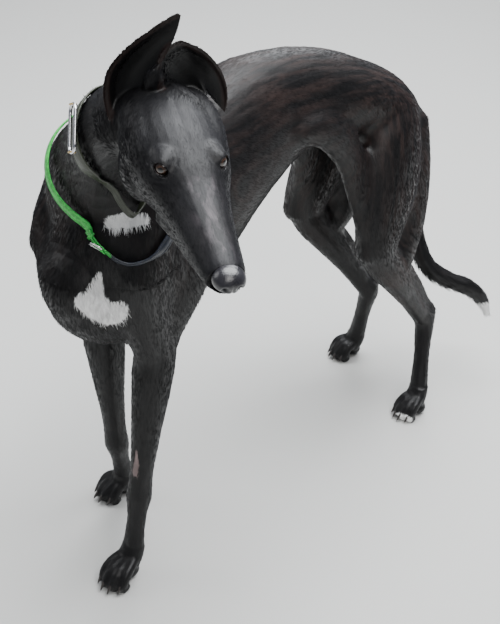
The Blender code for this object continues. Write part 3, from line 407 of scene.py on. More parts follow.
def coat_direction(points, normals):
    """Direction in which the hair lies on the skin."""
    weights = bone_weights(points)
    directions = np.array([bone[3] for bone in BONES])
    flow = weights.T @ directions
    trunk = sum(weights[index] for index, bone in enumerate(BONES) if bone[0] in ("back", "neck"))
    flow[:, 2] -= 0.55 * trunk * smoothstep(0.9, 0.2, np.abs(normals[:, 2]))
    flow -= normals * np.sum(flow * normals, axis=1)[:, None]
    return flow / np.maximum(np.linalg.norm(flow, axis=1), 1e-6)[:, None]


def lie_coordinates(points):
    """Coordinates that run with the hair: along it, then the two ways across it."""
    weights = bone_weights(points)
    total = np.zeros_like(points)
    for index, (name, start, end, direction, length, run) in enumerate(BONES):
        side = Vector((1, 0, 0)) if abs(direction.x) < 0.7 else HEAD_LEFT
        side = (side - direction * side.dot(direction)).normalized()
        axes = np.array([direction, side, direction.cross(side)])
        local = (points - np.array(start)) @ axes.T
        local[:, 0] += run
        total += local * weights[index][:, None]
    return total


def inside_field(points, lobes):
    """How far inside the nearest lobe of a patch each point is; negative outside."""
    field = np.full(len(points), -0.03)
    for start, end, first, second in lobes:
        distance, along = segment_distance(points, start, end)
        field = np.maximum(field, first + (second - first) * along - distance)
    return field


def soft_field(points, spots):
    """Strength from 0 to 1 of soft round spots."""
    field = np.zeros(len(points))
    for centre, radius in spots:
        distance = np.linalg.norm(points - np.array(centre), axis=1)
        field = np.maximum(field, np.exp(-(distance / radius) ** 2))
    return field


def ear_marks(points, normals):
    """For each point: how much it is on an ear, in its hollow where shade is painted, on its rolled rim, and how near
    an edge of it.
    """
    facing = np.array(in_head(*EAR_FACING).normalized())
    toward = normals @ facing
    on_ear, hollow, rolled = np.zeros(len(points)), np.zeros(len(points)), np.zeros(len(points))
    edge = np.full(len(points), 0.05)
    for side, tree in EARS.items():
        chain = np.array([tuple(place) for place in CHAINS["ear_" + side]])
        near = np.flatnonzero(np.linalg.norm(points - chain.mean(axis=0), axis=1) < 0.085)
        if not len(near):
            continue
        distance = np.array([tree.find_nearest(Vector(point))[3] for point in points[near]])
        here = smoothstep(0.0042, 0.0022, distance)
        rows = curve_rows(EAR[side], 3)
        rims = []
        for first in (0, 3):
            rim = [head_at(*row[first:first + 3]) for row in rows]
            gaps = [segment_distance(points[near], a, b)[0] for a, b in zip(rim[:-1], rim[1:])]
            rims.append(np.min(gaps, axis=0))
        on_ear[near] = np.maximum(on_ear[near], here)
        hollow[near] = np.maximum(hollow[near], here * smoothstep(-0.15, 0.25, toward[near]))
        rolled[near] = np.maximum(rolled[near], here * smoothstep(0.0100, 0.0065, rims[0]))
        edge[near] = np.minimum(edge[near], np.minimum(*rims))
    return on_ear, hollow, rolled, edge


def give_marks(mesh, points, normals):
    """Write the coat's markings, with its painted sheen and shade, on a mesh, each as an attribute."""
    hollow, rolled = ear_marks(points, normals)[1:3]
    fields = {
        "white_hair": inside_field(points, WHITE),
        "bare_skin": inside_field(points, BARE),
        "brown_sheen": soft_field(points, BROWN),
        "charcoal_and_painted_sheen": soft_field(points, CHARCOAL_AND_PAINTED_SHEEN),
        "pale_bridge": soft_field(points, PALE_HAIR_AND_SHEEN),
        "ear_hollow_painted_shade": hollow,
        "ear_rim": rolled,
    }
    for name, values in fields.items():
        layer = mesh.attributes.new(name, "FLOAT", "POINT")
        layer.data.foreach_set("value", values.astype(np.float32))


def give_lie(mesh, points):
    """Write the coordinates that run with the hair on a mesh."""
    layer = mesh.attributes.new("lie", "FLOAT_VECTOR", "POINT")
    layer.data.foreach_set("vector", lie_coordinates(points).astype(np.float32).ravel())


# materials

class Shader:
    """A material's nodes, added by short calls."""

    def __init__(self, name):
        self.material = bpy.data.materials.new(name)
        self.material.use_nodes = True
        self.tree = self.material.node_tree
        self.surface = self.tree.nodes["Principled BSDF"]

    def node(self, kind, inputs=(), output=0, **settings):
        """Add a node, with its inputs as values or sockets, and give one of its outputs."""
        node = self.tree.nodes.new("ShaderNode" + kind)
        for key, value in settings.items():
            setattr(node, key, value)
        for key, value in dict(inputs).items():
            if isinstance(value, bpy.types.NodeSocket):
                self.tree.links.new(value, node.inputs[key])
            else:
                node.inputs[key].default_value = value
        return node.outputs[output]

    def math(self, operation, *values):
        """Number from one or two others."""
        return self.node("Math", enumerate(values), operation=operation)

    def attribute(self, name, output="Fac"):
        """Attribute of the mesh."""
        return self.node("Attribute", output=output, attribute_name=name)

    def place(self):
        """Object coordinates."""
        return self.node("TexCoord", output="Object")

    def stretch(self, vector, scale):
        """Coordinates scaled along each axis."""
        return self.node("Mapping", {"Vector": vector, "Scale": scale})

    def noise(self, vector, scale, detail=2.0, roughness=0.5, distortion=0.0):
        """Noise from 0 to 1."""
        return self.node("TexNoise", {"Vector": vector, "Scale": scale, "Detail": detail,
                                      "Roughness": roughness, "Distortion": distortion})

    def ramp(self, value, low, high, start=0.0, end=1.0):
        """Smooth ramp between two values."""
        return self.node("MapRange", {"Value": value, "From Min": low, "From Max": high, "To Min": start,
                                      "To Max": end}, interpolation_type="SMOOTHSTEP")

    def mix(self, factor, first, second, blend="MIX"):
        """Colour between two others."""
        node = self.tree.nodes.new("ShaderNodeMix")
        node.data_type = "RGBA"
        node.blend_type = blend
        for index, value in ((0, factor), (6, first), (7, second)):
            if isinstance(value, bpy.types.NodeSocket):
                self.tree.links.new(value, node.inputs[index])
            elif index == 0:
                node.inputs[index].default_value = value
            else:
                node.inputs[index].default_value = (*value, 1)
        return node.outputs[2]

    def bump(self, height, distance, strength=1.0, normal=None):
        """Normal tilted by a height."""
        inputs = {"Height": height, "Distance": distance, "Strength": strength}
        if normal is not None:
            inputs["Normal"] = normal
        return self.node("Bump", inputs)

    def finish(self, colour=None, normal=None, roughness=None, **constants):
        """Set the surface: linked colour, roughness and normal, and constants on their own sockets."""
        for key, value in (("Base Color", colour), ("Normal", normal), ("Roughness", roughness)):
            if isinstance(value, bpy.types.NodeSocket):
                self.tree.links.new(value, self.surface.inputs[key])
            elif value is not None:
                self.surface.inputs[key].default_value = value if key == "Roughness" else (*value, 1)
        for key, value in constants.items():
            self.surface.inputs[key.replace("_", " ")].default_value = value
        return self.material


def fur_material(name, colours, strand_bump):
    """Short glossy hair with its markings and its painted sheen and shade. The coat's tufts and the skin under them
    share it.
    """
    shader = Shader(name)
    lie = shader.attribute("lie", "Vector")
    place = shader.place()
    strands = shader.noise(shader.stretch(lie, (45, 600, 600)), 1.0, 2.0, 0.6)
    locks = shader.noise(shader.stretch(lie, (14, 110, 110)), 1.0, 2.0, 0.5, 0.3)
    cloud = shader.noise(place, 14.0, 3.0, 0.55)
    colour = shader.mix(shader.ramp(strands, 0.35, 0.8), colours["black"], colours["grey"])
    # Brown on the back, rump and thighs: a brown tint of the hair, partly a painted sheen
    brown = shader.math("MULTIPLY", shader.attribute("brown_sheen"), shader.ramp(locks, 0.35, 0.75))
    colour = shader.mix(brown, colour, colours["brown"])
    # Charcoal over the skull and muzzle: partly dark grey hair, partly a painted blue-grey sheen on these top surfaces
    charcoal_and_painted_sheen = shader.math("MULTIPLY", shader.attribute("charcoal_and_painted_sheen"), shader.ramp(cloud, 0.25, 0.65, 0.35, 1.0))
    colour = shader.mix(charcoal_and_painted_sheen, colour, colours["charcoal_and_painted_sheen"])
    mottle = shader.noise(shader.stretch(lie, (40, 110, 110)), 1.0, 3.0, 0.6, 0.6)
    # Mottled pale bridge: grey hairs of the muzzle, partly a painted sheen
    pale = shader.math("MULTIPLY", shader.attribute("pale_bridge"), shader.ramp(mottle, 0.40, 0.66))
    colour = shader.mix(pale, colour, colours["bridge"])
    # Painted shade: the hollow of each ear is made darker than the black coat
    colour = shader.mix(shader.attribute("ear_hollow_painted_shade"), colour, colours["hollow"])
    rim = shader.math("MULTIPLY", shader.attribute("ear_rim"), shader.ramp(strands, 0.25, 0.7, 0.5, 1.0))
    colour = shader.mix(rim, colour, colours["rim"])
    edge = shader.noise(shader.stretch(lie, (110, 420, 420)), 1.0, 2.0, 0.6)
    ragged = shader.math("MULTIPLY_ADD", edge, 0.009, shader.attribute("white_hair"))
    white = shader.ramp(ragged, 0.0030, 0.0062)
    shade = shader.mix(shader.ramp(strands, 0.25, 0.7), colours["white_shade"], colours["white"])
    colour = shader.mix(white, colour, shade)
    ragged = shader.math("MULTIPLY_ADD", edge, 0.005, shader.attribute("bare_skin"))
    mottled = shader.mix(shader.ramp(cloud, 0.35, 0.6), colours["skin"], colours["skin_dark"])
    colour = shader.mix(shader.ramp(ragged, 0.0016, 0.0040), colour, mottled)
    height = shader.math("ADD", shader.math("MULTIPLY", locks, 0.7), shader.math("MULTIPLY", strands, 0.3))
    normal = shader.bump(height, strand_bump)
    rough = shader.ramp(locks, 0.2, 0.8, 0.38, 0.50)
    return shader.finish(colour, normal, rough, Specular_IOR_Level=0.30, Sheen_Weight=0.02, Sheen_Roughness=0.4,
                         Sheen_Tint=(0.85, 0.86, 1.0, 1))


# skin

def flesh_copy(node, grow=0.0008):
    """Copy of a node's surface, moved out far enough to meet its neighbours."""
    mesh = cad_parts[node].data.copy()
    mesh.materials.clear()
    thing = bpy.data.objects.new("flesh", mesh)
    bpy.context.scene.collection.objects.link(thing)
    face_out(thing)
    set_points(mesh, points_of(mesh) + normals_of(mesh) * grow)
    return thing


def remeshed(thing, voxel):
    """One even surface over all that an object holds."""
    modifier = thing.modifiers.new("Even", "REMESH")
    modifier.mode = "VOXEL"
    modifier.voxel_size = voxel
    apply_modifier(thing, modifier)


def relax(points, edges, rounds, weights, keep=0.53):
    """Smooth a surface without shrinking it."""
    first, second = edges.T
    count = len(points)
    degree = np.bincount(first, minlength=count) + np.bincount(second, minlength=count)
    for step in range(rounds):
        for factor in (0.5, -keep):
            total = np.empty_like(points)
            for axis in range(3):
                total[:, axis] = (np.bincount(first, points[second, axis], count)
                                  + np.bincount(second, points[first, axis], count))
            points = points + (total / degree[:, None] - points) * (factor * weights[:, None])
    return points


def ear_shell(side):
    """Thin curved ear with a rolled outer rim."""
    facing = in_head(*EAR_FACING).normalized()
    across_steps = 26
    rings = []
    root = np.array(EAR[side][0]) * 1.0
    root[:6] += 0.30 * (np.array((0, 0.030, -0.050) * 2) - root[:6])
    samples = curve_rows((tuple(root), *EAR[side]), 6)
    for row_index, sample in enumerate(samples):
        outer, inner = head_at(*sample[:3]), head_at(*sample[3:6])
        width = (inner - outer).length
        tip = row_index / (len(samples) - 1)
        near, far = [], []
        for step in range(across_steps + 1):
            s = 2 * step / across_steps - 1
            place = outer.lerp(inner, (s + 1) / 2) - facing * sample[6] * (1 - s * s)
            from_rim = (s + 1) / 2 * width
            roll = 0.0032 * math.exp(-((from_rim - 0.0075) / 0.0034) ** 2) * (1 - 0.6 * tip)
            dip = 0.0014 * math.exp(-((from_rim - 0.014) / 0.0030) ** 2) * (1 - tip)
            half = 0.0017 * max(0.70, 1 - abs(s) ** 6)
            near.append(place + facing * (half + roll - dip))
            far.append(place - facing * half)
        rings.append(near + far[::-1])
    ear = ring_loft("ear", rings)
    EARS[side] = BVHTree.FromObject(ear, bpy.context.evaluated_depsgraph_get())
    return ear


def loop_round(node, centre, axis, steps=LOOP_STEPS):
    """Closed loop along the inner face of a collar's solid: the point and the outward direction at each step."""
    tree = BVHTree.FromObject(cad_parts[node], bpy.context.evaluated_depsgraph_get())
    right = axis.orthogonal().normalized()
    ahead = axis.cross(right)
    spokes, radii, lifts = [], [], []
    for step in range(steps):
        turn = 2 * math.pi * step / steps
        spoke = right * math.cos(turn) + ahead * math.sin(turn)
        hit, inward = tree.ray_cast(centre, spoke)[:2]
        spokes.append(spoke)
        radii.append((hit - centre).length if hit else math.nan)
        lifts.append(-inward if hit and -inward.dot(spoke) > 0.5 else spoke)
    radii = np.array(radii)
    known = np.flatnonzero(~np.isnan(radii))
    radii = np.interp(np.arange(steps), known, radii[known], period=steps)
    loop = []
    for index, spoke in enumerate(spokes):
        near = [(index + shift) % steps for shift in range(-3, 4)]
        lift = sum((lifts[place] for place in near), Vector()).normalized()
        loop.append((centre + spoke * float(radii[near].mean()), lift))
    return loop


def cut_at_collar(thing, loop, inside, low, high):
    """Keep the side of the collar's loop that a point lies on, out to a band under the strap, and close it."""
    centre, axis = UPPER_COLLAR
    points = points_of(thing.data)
    edges = edges_of(thing.data)
    level = (points - np.array(centre)) @ np.array(axis)
    near = np.full(len(points), 1.0)
    candidates = np.flatnonzero((level > low) & (level < high))
    ring = np.array([tuple(point) for point, lift in loop])
    for start in range(0, len(candidates), 4000):
        part = candidates[start:start + 4000]
        near[part] = np.linalg.norm(points[part][:, None] - ring[None], axis=2).min(axis=1)
    wall = near < 0.030
    reached = np.zeros(len(points), bool)
    reached[np.argmin(np.linalg.norm(points - np.array(inside), axis=1))] = True
    first, second = edges.T
    while True:
        before = reached.sum()
        for repeat in range(8):
            open_ends = reached & ~wall
            reached[second[open_ends[first]]] = True
            reached[first[open_ends[second]]] = True
        if reached.sum() == before:
            break
    work = bmesh.new()
    work.from_mesh(thing.data)
    lost = [vert for vert in work.verts if not reached[vert.index]]
    bmesh.ops.delete(work, geom=lost, context="VERTS")
    bmesh.ops.holes_fill(work, edges=[edge for edge in work.edges if edge.is_boundary])
    bmesh.ops.triangulate(work, faces=[face for face in work.faces if len(face.verts) > 4])
    work.to_mesh(thing.data)
    work.free()


def shape_face(points, normals):
    """Folds of the face: mouth, lip, lids, brow, forehead furrow and the skin of the muzzle."""
    local = in_head_axes(points)
    side, forward, up = np.abs(local[:, 0]), local[:, 1], local[:, 2]
    mirrored = np.stack([side, forward, up], axis=1)
    nearest = np.full(len(points), 1.0)
    over = np.full(len(points), 1.0)
    for start, end in zip(MOUTH[:-1], MOUTH[1:]):
        nearest = np.minimum(nearest, segment_distance(mirrored, start, end)[0])
        raised = (np.array(start) + (0, 0, 0.0048), np.array(end) + (0, 0, 0.0048))
        over = np.minimum(over, segment_distance(mirrored, *raised)[0])
    move = -0.0016 * np.exp(-(nearest / 0.0013) ** 2)
    move += 0.0008 * np.exp(-(over / 0.0026) ** 2)
    furrow = np.exp(-(side / 0.0035) ** 2) * smoothstep(0.02, 0.05, forward) * smoothstep(0.14, 0.10, forward)
    move -= 0.0012 * furrow * (up > -0.03)
    from_eye = np.linalg.norm(mirrored - np.array(EYE), axis=1)
    ring = np.exp(-((from_eye - 0.0175) / 0.0022) ** 2)
    move -= 0.0003 * ring
    move += 0.0002 * np.exp(-((from_eye - 0.0215) / 0.0026) ** 2)
    return points + normals * move[:, None]


def make_skin(settings):
    """Body and head skin in two pieces that meet under the upper collar."""
    body_nodes = ("torso", "neck", "foreleg_left", "foreleg_right", "hindleg_left", "hindleg_right",
                  "forepaw_left", "forepaw_right", "hindpaw_left", "hindpaw_right", "tail_upper", "tail_lower")
    body = join([flesh_copy(node) for node in body_nodes], "body_skin")
    remeshed(body, 0.0022)
    points, edges = points_of(body.data), edges_of(body.data)
    fine = smoothstep(0.05, 0.11, points[:, 2])
    points = relax(points, edges, 45, 0.25 + 0.75 * fine, 0.515)
    hip = np.exp(-(np.linalg.norm(points - np.array(at(0.060, 0.435, 0.580)), axis=1) / 0.055) ** 2)
    points = relax(points, edges, 30, np.clip(hip * 1.4, 0, 1), 0.25)
    set_points(body.data, points)
    LOOPS["upper"] = loop_round("collar_upper", *UPPER_COLLAR)
    LOOPS["lower"] = loop_round("collar_lower", *LOWER_COLLAR)
    cut_at_collar(body, LOOPS["upper"], at(0, 0.3, 0.7), 0.0030, 0.0090)

    torso = flesh_copy("torso")
    activate(torso)
    for place, direction in ((at(0, 0.01, 0), (0, 1, 0)), (at(0, 0, 0.53), (0, 0, -1))):
        bpy.ops.object.mode_set(mode="EDIT")
        bpy.ops.mesh.select_all(action="SELECT")
        bpy.ops.mesh.bisect(plane_co=place, plane_no=direction, use_fill=True, clear_outer=True)
        bpy.ops.object.mode_set(mode="OBJECT")
    deselect()
    bpy.ops.mesh.primitive_uv_sphere_add(segments=32, ring_count=20, radius=1.0)
    crest = bpy.context.active_object
    axes = np.array([HEAD_LEFT, HEAD_FORWARD, HEAD_UP])
    set_points(crest.data, (points_of(crest.data) * (0.012, 0.009, 0.022) + (-0.0135, 0.011, 0.001)) @ axes
               + np.array(HEAD_ORIGIN))
    head = join([torso, flesh_copy("neck"), flesh_copy("head"), ear_shell("left"), ear_shell("right"), crest],
                "head_skin")
    remeshed(head, 0.00135)
    points, edges = points_of(head.data), edges_of(head.data)
    local = in_head_axes(points)
    neck = smoothstep(0.02, -0.03, local[:, 1]) * smoothstep(-0.06, -0.09, local[:, 2])
    ear = smoothstep(-0.012, 0.004, local[:, 2] - 0.25 * local[:, 1] + 0.9 * (np.abs(local[:, 0]) - 0.055))
    points = relax(points, edges, 40, np.clip(0.35 + 0.65 * neck - 0.1 * ear, 0.2, 1), 0.52)
    set_points(head.data, points)
    cut_at_collar(head, LOOPS["upper"], head_at(0, 0.2, -0.03), -0.0100, -0.0040)

    for thing, limit, inset in ((body, 194000, settings.coat_depth), (head, 190000, settings.face_depth)):
        triangles = sum(len(face.vertices) - 2 for face in thing.data.polygons)
        points = points_of(thing.data)
        if triangles > limit:
            modifier = thing.modifiers.new("Thin", "DECIMATE")
            modifier.ratio = limit / triangles
            if thing is body:
                group = thing.vertex_groups.new(name="fine")
                paws = np.flatnonzero(points[:, 2] < 0.075)
                group.add([int(index) for index in paws], 1.0, "REPLACE")
                modifier.vertex_group = "fine"
                modifier.invert_vertex_group = True
                modifier.vertex_group_factor = 2.0
            apply_modifier(thing, modifier)
            thing.vertex_groups.clear()
        points, normals = points_of(thing.data), normals_of(thing.data)
        depth = np.full(len(points), inset)
        if thing is body:
            depth *= 0.45 + 0.55 * smoothstep(0.03, 0.10, points[:, 2])
        else:
            points = shape_face(points, normals)
        set_points(thing.data, points - normals * depth[:, None])
        shade_smooth(thing)
        points = points_of(thing.data)
        give_marks(thing.data, points, normals_of(thing.data))
        give_lie(thing.data, points)
    return body, head


# coat

def coat_lengths(points, normals):
    """Length, width and lift of a tuft rooted at each point."""
    weights = bone_weights(points)
    share = {name: sum(weights[i] for i, bone in enumerate(BONES) if bone[0] == name) for name in CHAINS}
    legs = sum(value for name, value in share.items() if "leg" in name)
    low = smoothstep(0.34, 0.18, points[:, 2]) * legs
    paws = smoothstep(0.09, 0.05, points[:, 2])
    length = 0.0100 - 0.0030 * low - 0.0040 * paws
    width = 0.0013 - 0.0004 * low - 0.0004 * paws
    lift = np.full(len(points), 0.0006)
    under = smoothstep(0.2, -0.6, normals[:, 2])
    tip = smoothstep(0.16, 0.11, points[:, 2]) * share["tail"]
    length += 0.006 * share["tail"] * under - 0.004 * tip
    lift += 0.0030 * share["tail"] * under
    behind = smoothstep(0.5, 0.95, normals[:, 1]) * smoothstep(0.30, 0.36, points[:, 2])
    length += 0.005 * behind
    lift += 0.0014 * behind
    belly = under * share["keel"]
    length += 0.003 * belly
    lift += 0.0008 * belly
    local = in_head_axes(points)
    face = share["muzzle"] * smoothstep(0.0, 0.08, local[:, 1])
    length = length * (1 - face) + (0.0046 - 0.0016 * smoothstep(0.14, 0.2, local[:, 1])) * face
    width = width * (1 - face) + 0.0007 * face
    lift = lift * (1 - face) + 0.00035 * face
    on_ear, hollow, rolled, edge = ear_marks(points, normals)
    rim = smoothstep(0.006, 0.001, edge)
    length = length * (1 - on_ear) + (0.0042 - 0.0020 * rim) * on_ear
    width = width * (1 - on_ear) + 0.0007 * on_ear
    lift = lift * (1 - on_ear) + 0.0002 * on_ear
    return length, width, lift


def tufts_on(skin, count, seed, name, keep=None):
    """Coat of small solid tufts lying along the body, as one mesh."""
    chance = np.random.default_rng(seed)
    mesh = skin.data
    mesh.calc_loop_triangles()
    corners = np.empty(len(mesh.loop_triangles) * 3, np.int32)
    mesh.loop_triangles.foreach_get("vertices", corners)
    corners = corners.reshape(-1, 3)
    points, normals = points_of(mesh), normals_of(mesh)
    a, b, c = (points[corners[:, index]] for index in range(3))
    area = np.linalg.norm(np.cross(b - a, c - a), axis=1) / 2
    if keep is not None:
        area = area * keep((a + b + c) / 3)
    chosen = np.searchsorted(np.cumsum(area), chance.random(count) * area.sum())
    mixed = chance.random((count, 2))
    flip = mixed.sum(axis=1) > 1
    mixed[flip] = 1 - mixed[flip]
    share = np.stack([1 - mixed.sum(axis=1), mixed[:, 0], mixed[:, 1]], axis=1)
    roots = np.einsum("nk,nkd->nd", share, points[corners[chosen]])
    up = np.einsum("nk,nkd->nd", share, normals[corners[chosen]])
    up /= np.linalg.norm(up, axis=1)[:, None]
    flow = coat_direction(roots, up)
    across = np.cross(flow, up)
    turn = chance.normal(0, 0.16, count)[:, None]
    flow, across = flow * np.cos(turn) + across * np.sin(turn), across * np.cos(turn) - flow * np.sin(turn)
    length, width, lift = coat_lengths(roots, up)
    length = (length * chance.uniform(0.7, 1.25, count))[:, None]
    width = (width * chance.uniform(0.7, 1.2, count))[:, None] / 2
    lift = (lift * chance.uniform(0.5, 1.5, count))[:, None]
    sunk = up * 0.0004
    left = roots - across * width - sunk
    right = roots + across * width - sunk
    ridge = roots + flow * length * 0.38 + up * (width * 0.55 + lift * 0.35)
    tip = roots + flow * length + up * lift
    verts = np.stack([left, right, ridge, tip], axis=1).reshape(-1, 3)
    verts = np.clip(verts, np.array(CAD_BOX[0]) + 0.0002, np.array(CAD_BOX[1]) - 0.0002)
    base = np.arange(count)[:, None, None] * 4
    faces = (base + np.array(((0, 1, 2), (0, 2, 3), (1, 3, 2), (0, 3, 1)))).reshape(-1, 3)
    made = bpy.data.meshes.new(name)
    made.vertices.add(len(verts))
    made.vertices.foreach_set("co", verts.astype(np.float32).ravel())
    made.loops.add(len(faces) * 3)
    made.loops.foreach_set("vertex_index", faces.astype(np.int32).ravel())
    made.polygons.add(len(faces))
    made.polygons.foreach_set("loop_start", np.arange(0, len(faces) * 3, 3, dtype=np.int32))
    made.update(calc_edges=True)
    made.polygons.foreach_set("use_smooth", np.ones(len(faces), bool))
    give_marks(made, np.repeat(roots, 4, axis=0), np.repeat(up, 4, axis=0))
    lie = np.repeat(lie_coordinates(roots), 4, axis=0)
    lie[:, 0] += np.tile(np.array((0, 0, 0.4, 1.0)), count) * np.repeat(length[:, 0], 4)
    layer = made.attributes.new("lie", "FLOAT_VECTOR", "POINT")
    layer.data.foreach_set("vector", lie.astype(np.float32).ravel())
    bake_patches(made, roots, count)
    thing = bpy.data.objects.new(name, made)
    bpy.context.scene.collection.objects.link(thing)
    made.normals_split_custom_set_from_vertices(np.repeat(blended_normals(up, flow), 4, axis=0).tolist())
    return thing


def blended_normals(up, flow):
    """Normals of the tufts: those of the skin, tipped a little along the hair."""
    normal = up - flow * 0.10
    return normal / np.linalg.norm(normal, axis=1)[:, None]


def bake_patches(mesh, roots, count):
    """UV map in which each tuft is a small patch at its root's place on the skin, unrolled bone by bone."""
    weights = bone_weights(roots)
    nearest = np.argmax(weights, axis=0)
    cells = math.ceil(math.sqrt(len(BONES)))
    spot = np.empty((count, 2))
    for index, (name, start, end, direction, length, run) in enumerate(BONES):
        chosen = np.flatnonzero(nearest == index)
        if not len(chosen):
            continue
        side = direction.orthogonal().normalized()
        axes = np.array([direction, side, direction.cross(side)])
        local = (roots[chosen] - np.array(start)) @ axes.T
        along = np.clip((local[:, 0] / length + 0.5) / 2, 0, 1)
        round_it = np.arctan2(local[:, 2], local[:, 1]) / (2 * math.pi) + 0.5
        cell = np.array((index % cells, index // cells))
        spot[chosen] = (cell + 0.03 + 0.94 * np.stack([round_it, along], axis=1)) / cells
    corner = np.array(((0, 0), (0.003, 0), (0.0015, 0.0012), (0.0015, 0.003)))
    loops = np.empty(len(mesh.loops), np.int32)
    mesh.loops.foreach_get("vertex_index", loops)
    uv = np.clip(spot[loops // 4] + corner[loops % 4] - 0.0015, 0, 1)
    layer = mesh.uv_layers.new(name="OFBake")
    layer.data.foreach_set("uv", uv.astype(np.float32).ravel())


# pieces

def eye_frame(sign):
    """Centre of an eye, where it looks, and the ways to its inner corner and its upper lid."""
    def turned(vector):
        return in_head(vector.x * sign, vector.y, vector.z)
    centre = head_at(EYE.x * sign, EYE.y, EYE.z)
    axis = turned(EYE_DIRECTION).normalized()
    inner = turned(EYE_INNER)
    inner = (inner - axis * inner.dot(axis)).normalized()
    above = axis.cross(inner)
    if above.dot(HEAD_UP) < 0:
        above = -above
    return centre, axis, inner, above


def keep_on(thing, body="root"):
    """Let a finished piece ride on the dog."""
    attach(thing, body)
    return thing


def paint(thing, material):
    """Give an object one material."""
    thing.data.materials.clear()
    thing.data.materials.append(material)


class CoatSettings(bpy.types.PropertyGroup):
    """Sizes and colours of the skin and its coat."""

    coat_depth: bpy.props.FloatProperty(
        name="Coat depth", description="How far the skin lies inside the solids", default=0.0017, unit="LENGTH")
    face_depth: bpy.props.FloatProperty(
        name="Face depth", description="How far the skin of the face lies inside the solids", default=0.0009,
        unit="LENGTH")
    body_tufts: bpy.props.IntProperty(
        name="Body tufts", description="Number of tufts on each half of the body", default=46000)
    head_tufts: bpy.props.IntProperty(
        name="Head tufts", description="Number of tufts on the head", default=48000)
    black: bpy.props.FloatVectorProperty(
        name="Black", description="Darkest hair", default=(0.0035, 0.0033, 0.0036), subtype="COLOR")
    grey: bpy.props.FloatVectorProperty(
        name="Grey", description="Hair tips", default=(0.0080, 0.0073, 0.0077), subtype="COLOR")
    # Brown: tint of the hair, partly a painted sheen on the back and thighs
    brown: bpy.props.FloatVectorProperty(
        name="Brown", description="Brown sheen of the back and thighs", default=(0.0260, 0.0155, 0.0135),
        subtype="COLOR")
    # Charcoal: dark grey hair with a painted blue-grey sheen on the skull and forehead
    charcoal_and_painted_sheen: bpy.props.FloatVectorProperty(
        name="Charcoal", description="Skull and forehead", default=(0.0085, 0.0085, 0.0110), subtype="COLOR")
    # Bridge: pale grey hair of the muzzle, with a painted sheen
    bridge: bpy.props.FloatVectorProperty(
        name="Bridge", description="Pale hair on the muzzle", default=(0.0800, 0.0680, 0.0750), subtype="COLOR")
    white: bpy.props.FloatVectorProperty(
        name="White", description="White patches", default=(0.97, 0.965, 0.95), subtype="COLOR")
    skin: bpy.props.FloatVectorProperty(
        name="Skin", description="Bare skin", default=(0.42, 0.31, 0.30), subtype="COLOR")


class CollarSettings(bpy.types.PropertyGroup):
    """Sizes and colours of the collars."""

    strap_width: bpy.props.FloatProperty(
        name="Strap width", description="Width of the upper strap", default=0.0095, unit="LENGTH")
    nape_width: bpy.props.FloatProperty(
        name="Nape width", description="Width of the upper strap at the nape", default=0.022, unit="LENGTH")
    green_width: bpy.props.FloatProperty(
        name="Green width", description="Width of the lower strap", default=0.0125, unit="LENGTH")
    olive: bpy.props.FloatVectorProperty(
        name="Olive", description="Upper strap", default=(0.030, 0.036, 0.019), subtype="COLOR")
    green: bpy.props.FloatVectorProperty(
        name="Green", description="Lower strap", default=(0.050, 0.600, 0.090), subtype="COLOR")
    navy: bpy.props.FloatVectorProperty(
        name="Navy", description="Padded part of the lower strap", default=(0.012, 0.017, 0.030), subtype="COLOR")


class StageSettings(bpy.types.PropertyGroup):
    """Camera and light."""

    camera_place: bpy.props.FloatVectorProperty(
        name="Camera", description="Place of the camera from the dog's drawing frame", default=(0.97, -1.04, 1.37),
        subtype="TRANSLATION", unit="LENGTH")
    heading: bpy.props.FloatProperty(
        name="Heading", description="Turn of the view to the left of the tail", default=math.radians(37.2),
        subtype="ANGLE")
    drop: bpy.props.FloatProperty(
        name="Drop", description="Downward tilt of the view", default=math.radians(33.0), subtype="ANGLE")
    roll: bpy.props.FloatProperty(
        name="Roll", description="Roll of the camera", default=math.radians(3.2), subtype="ANGLE")
    lens: bpy.props.FloatProperty(
        name="Lens", description="Focal length on a 36 mm frame", default=70.67)
    floor: bpy.props.FloatVectorProperty(
        name="Floor", description="Colour of the floor", default=(0.62, 0.62, 0.60), subtype="COLOR")


class GREYHOUND_OT_skin(bpy.types.Operator):
    """Make the skin of the body and of the head, with the ears"""

    bl_idname = "greyhound.skin"
    bl_label = "Skin"

    def execute(self, context):
        settings = context.scene.greyhound_coat
        body, head = make_skin(settings)
        colours = {key: tuple(getattr(settings, key)) for key in
                   ("black", "grey", "brown", "charcoal_and_painted_sheen", "bridge", "white", "skin")}
        colours["white_shade"] = tuple(value * 0.82 for value in colours["white"])
        colours["skin_dark"] = tuple(value * 0.5 for value in colours["skin"])
        # Painted shade in the hollows of the ears, darker than the black coat
        colours["hollow"] = tuple(value * 0.45 for value in colours["black"])
        colours["rim"] = tuple(value * 0.75 for value in colours["brown"])
        paint(body, fur_material("black_coat", colours, 0.00030))
        paint(head, fur_material("face_coat", colours, 0.00012))
        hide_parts("torso", "neck", "foreleg_left", "foreleg_right", "hindleg_left", "hindleg_right",
                    "forepaw_left", "forepaw_right", "hindpaw_left", "hindpaw_right", "tail_upper", "tail_lower")
        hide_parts("head", "neck", "ear_left", "ear_right")
        keep_on(body)
        keep_on(head)
        return {"FINISHED"}


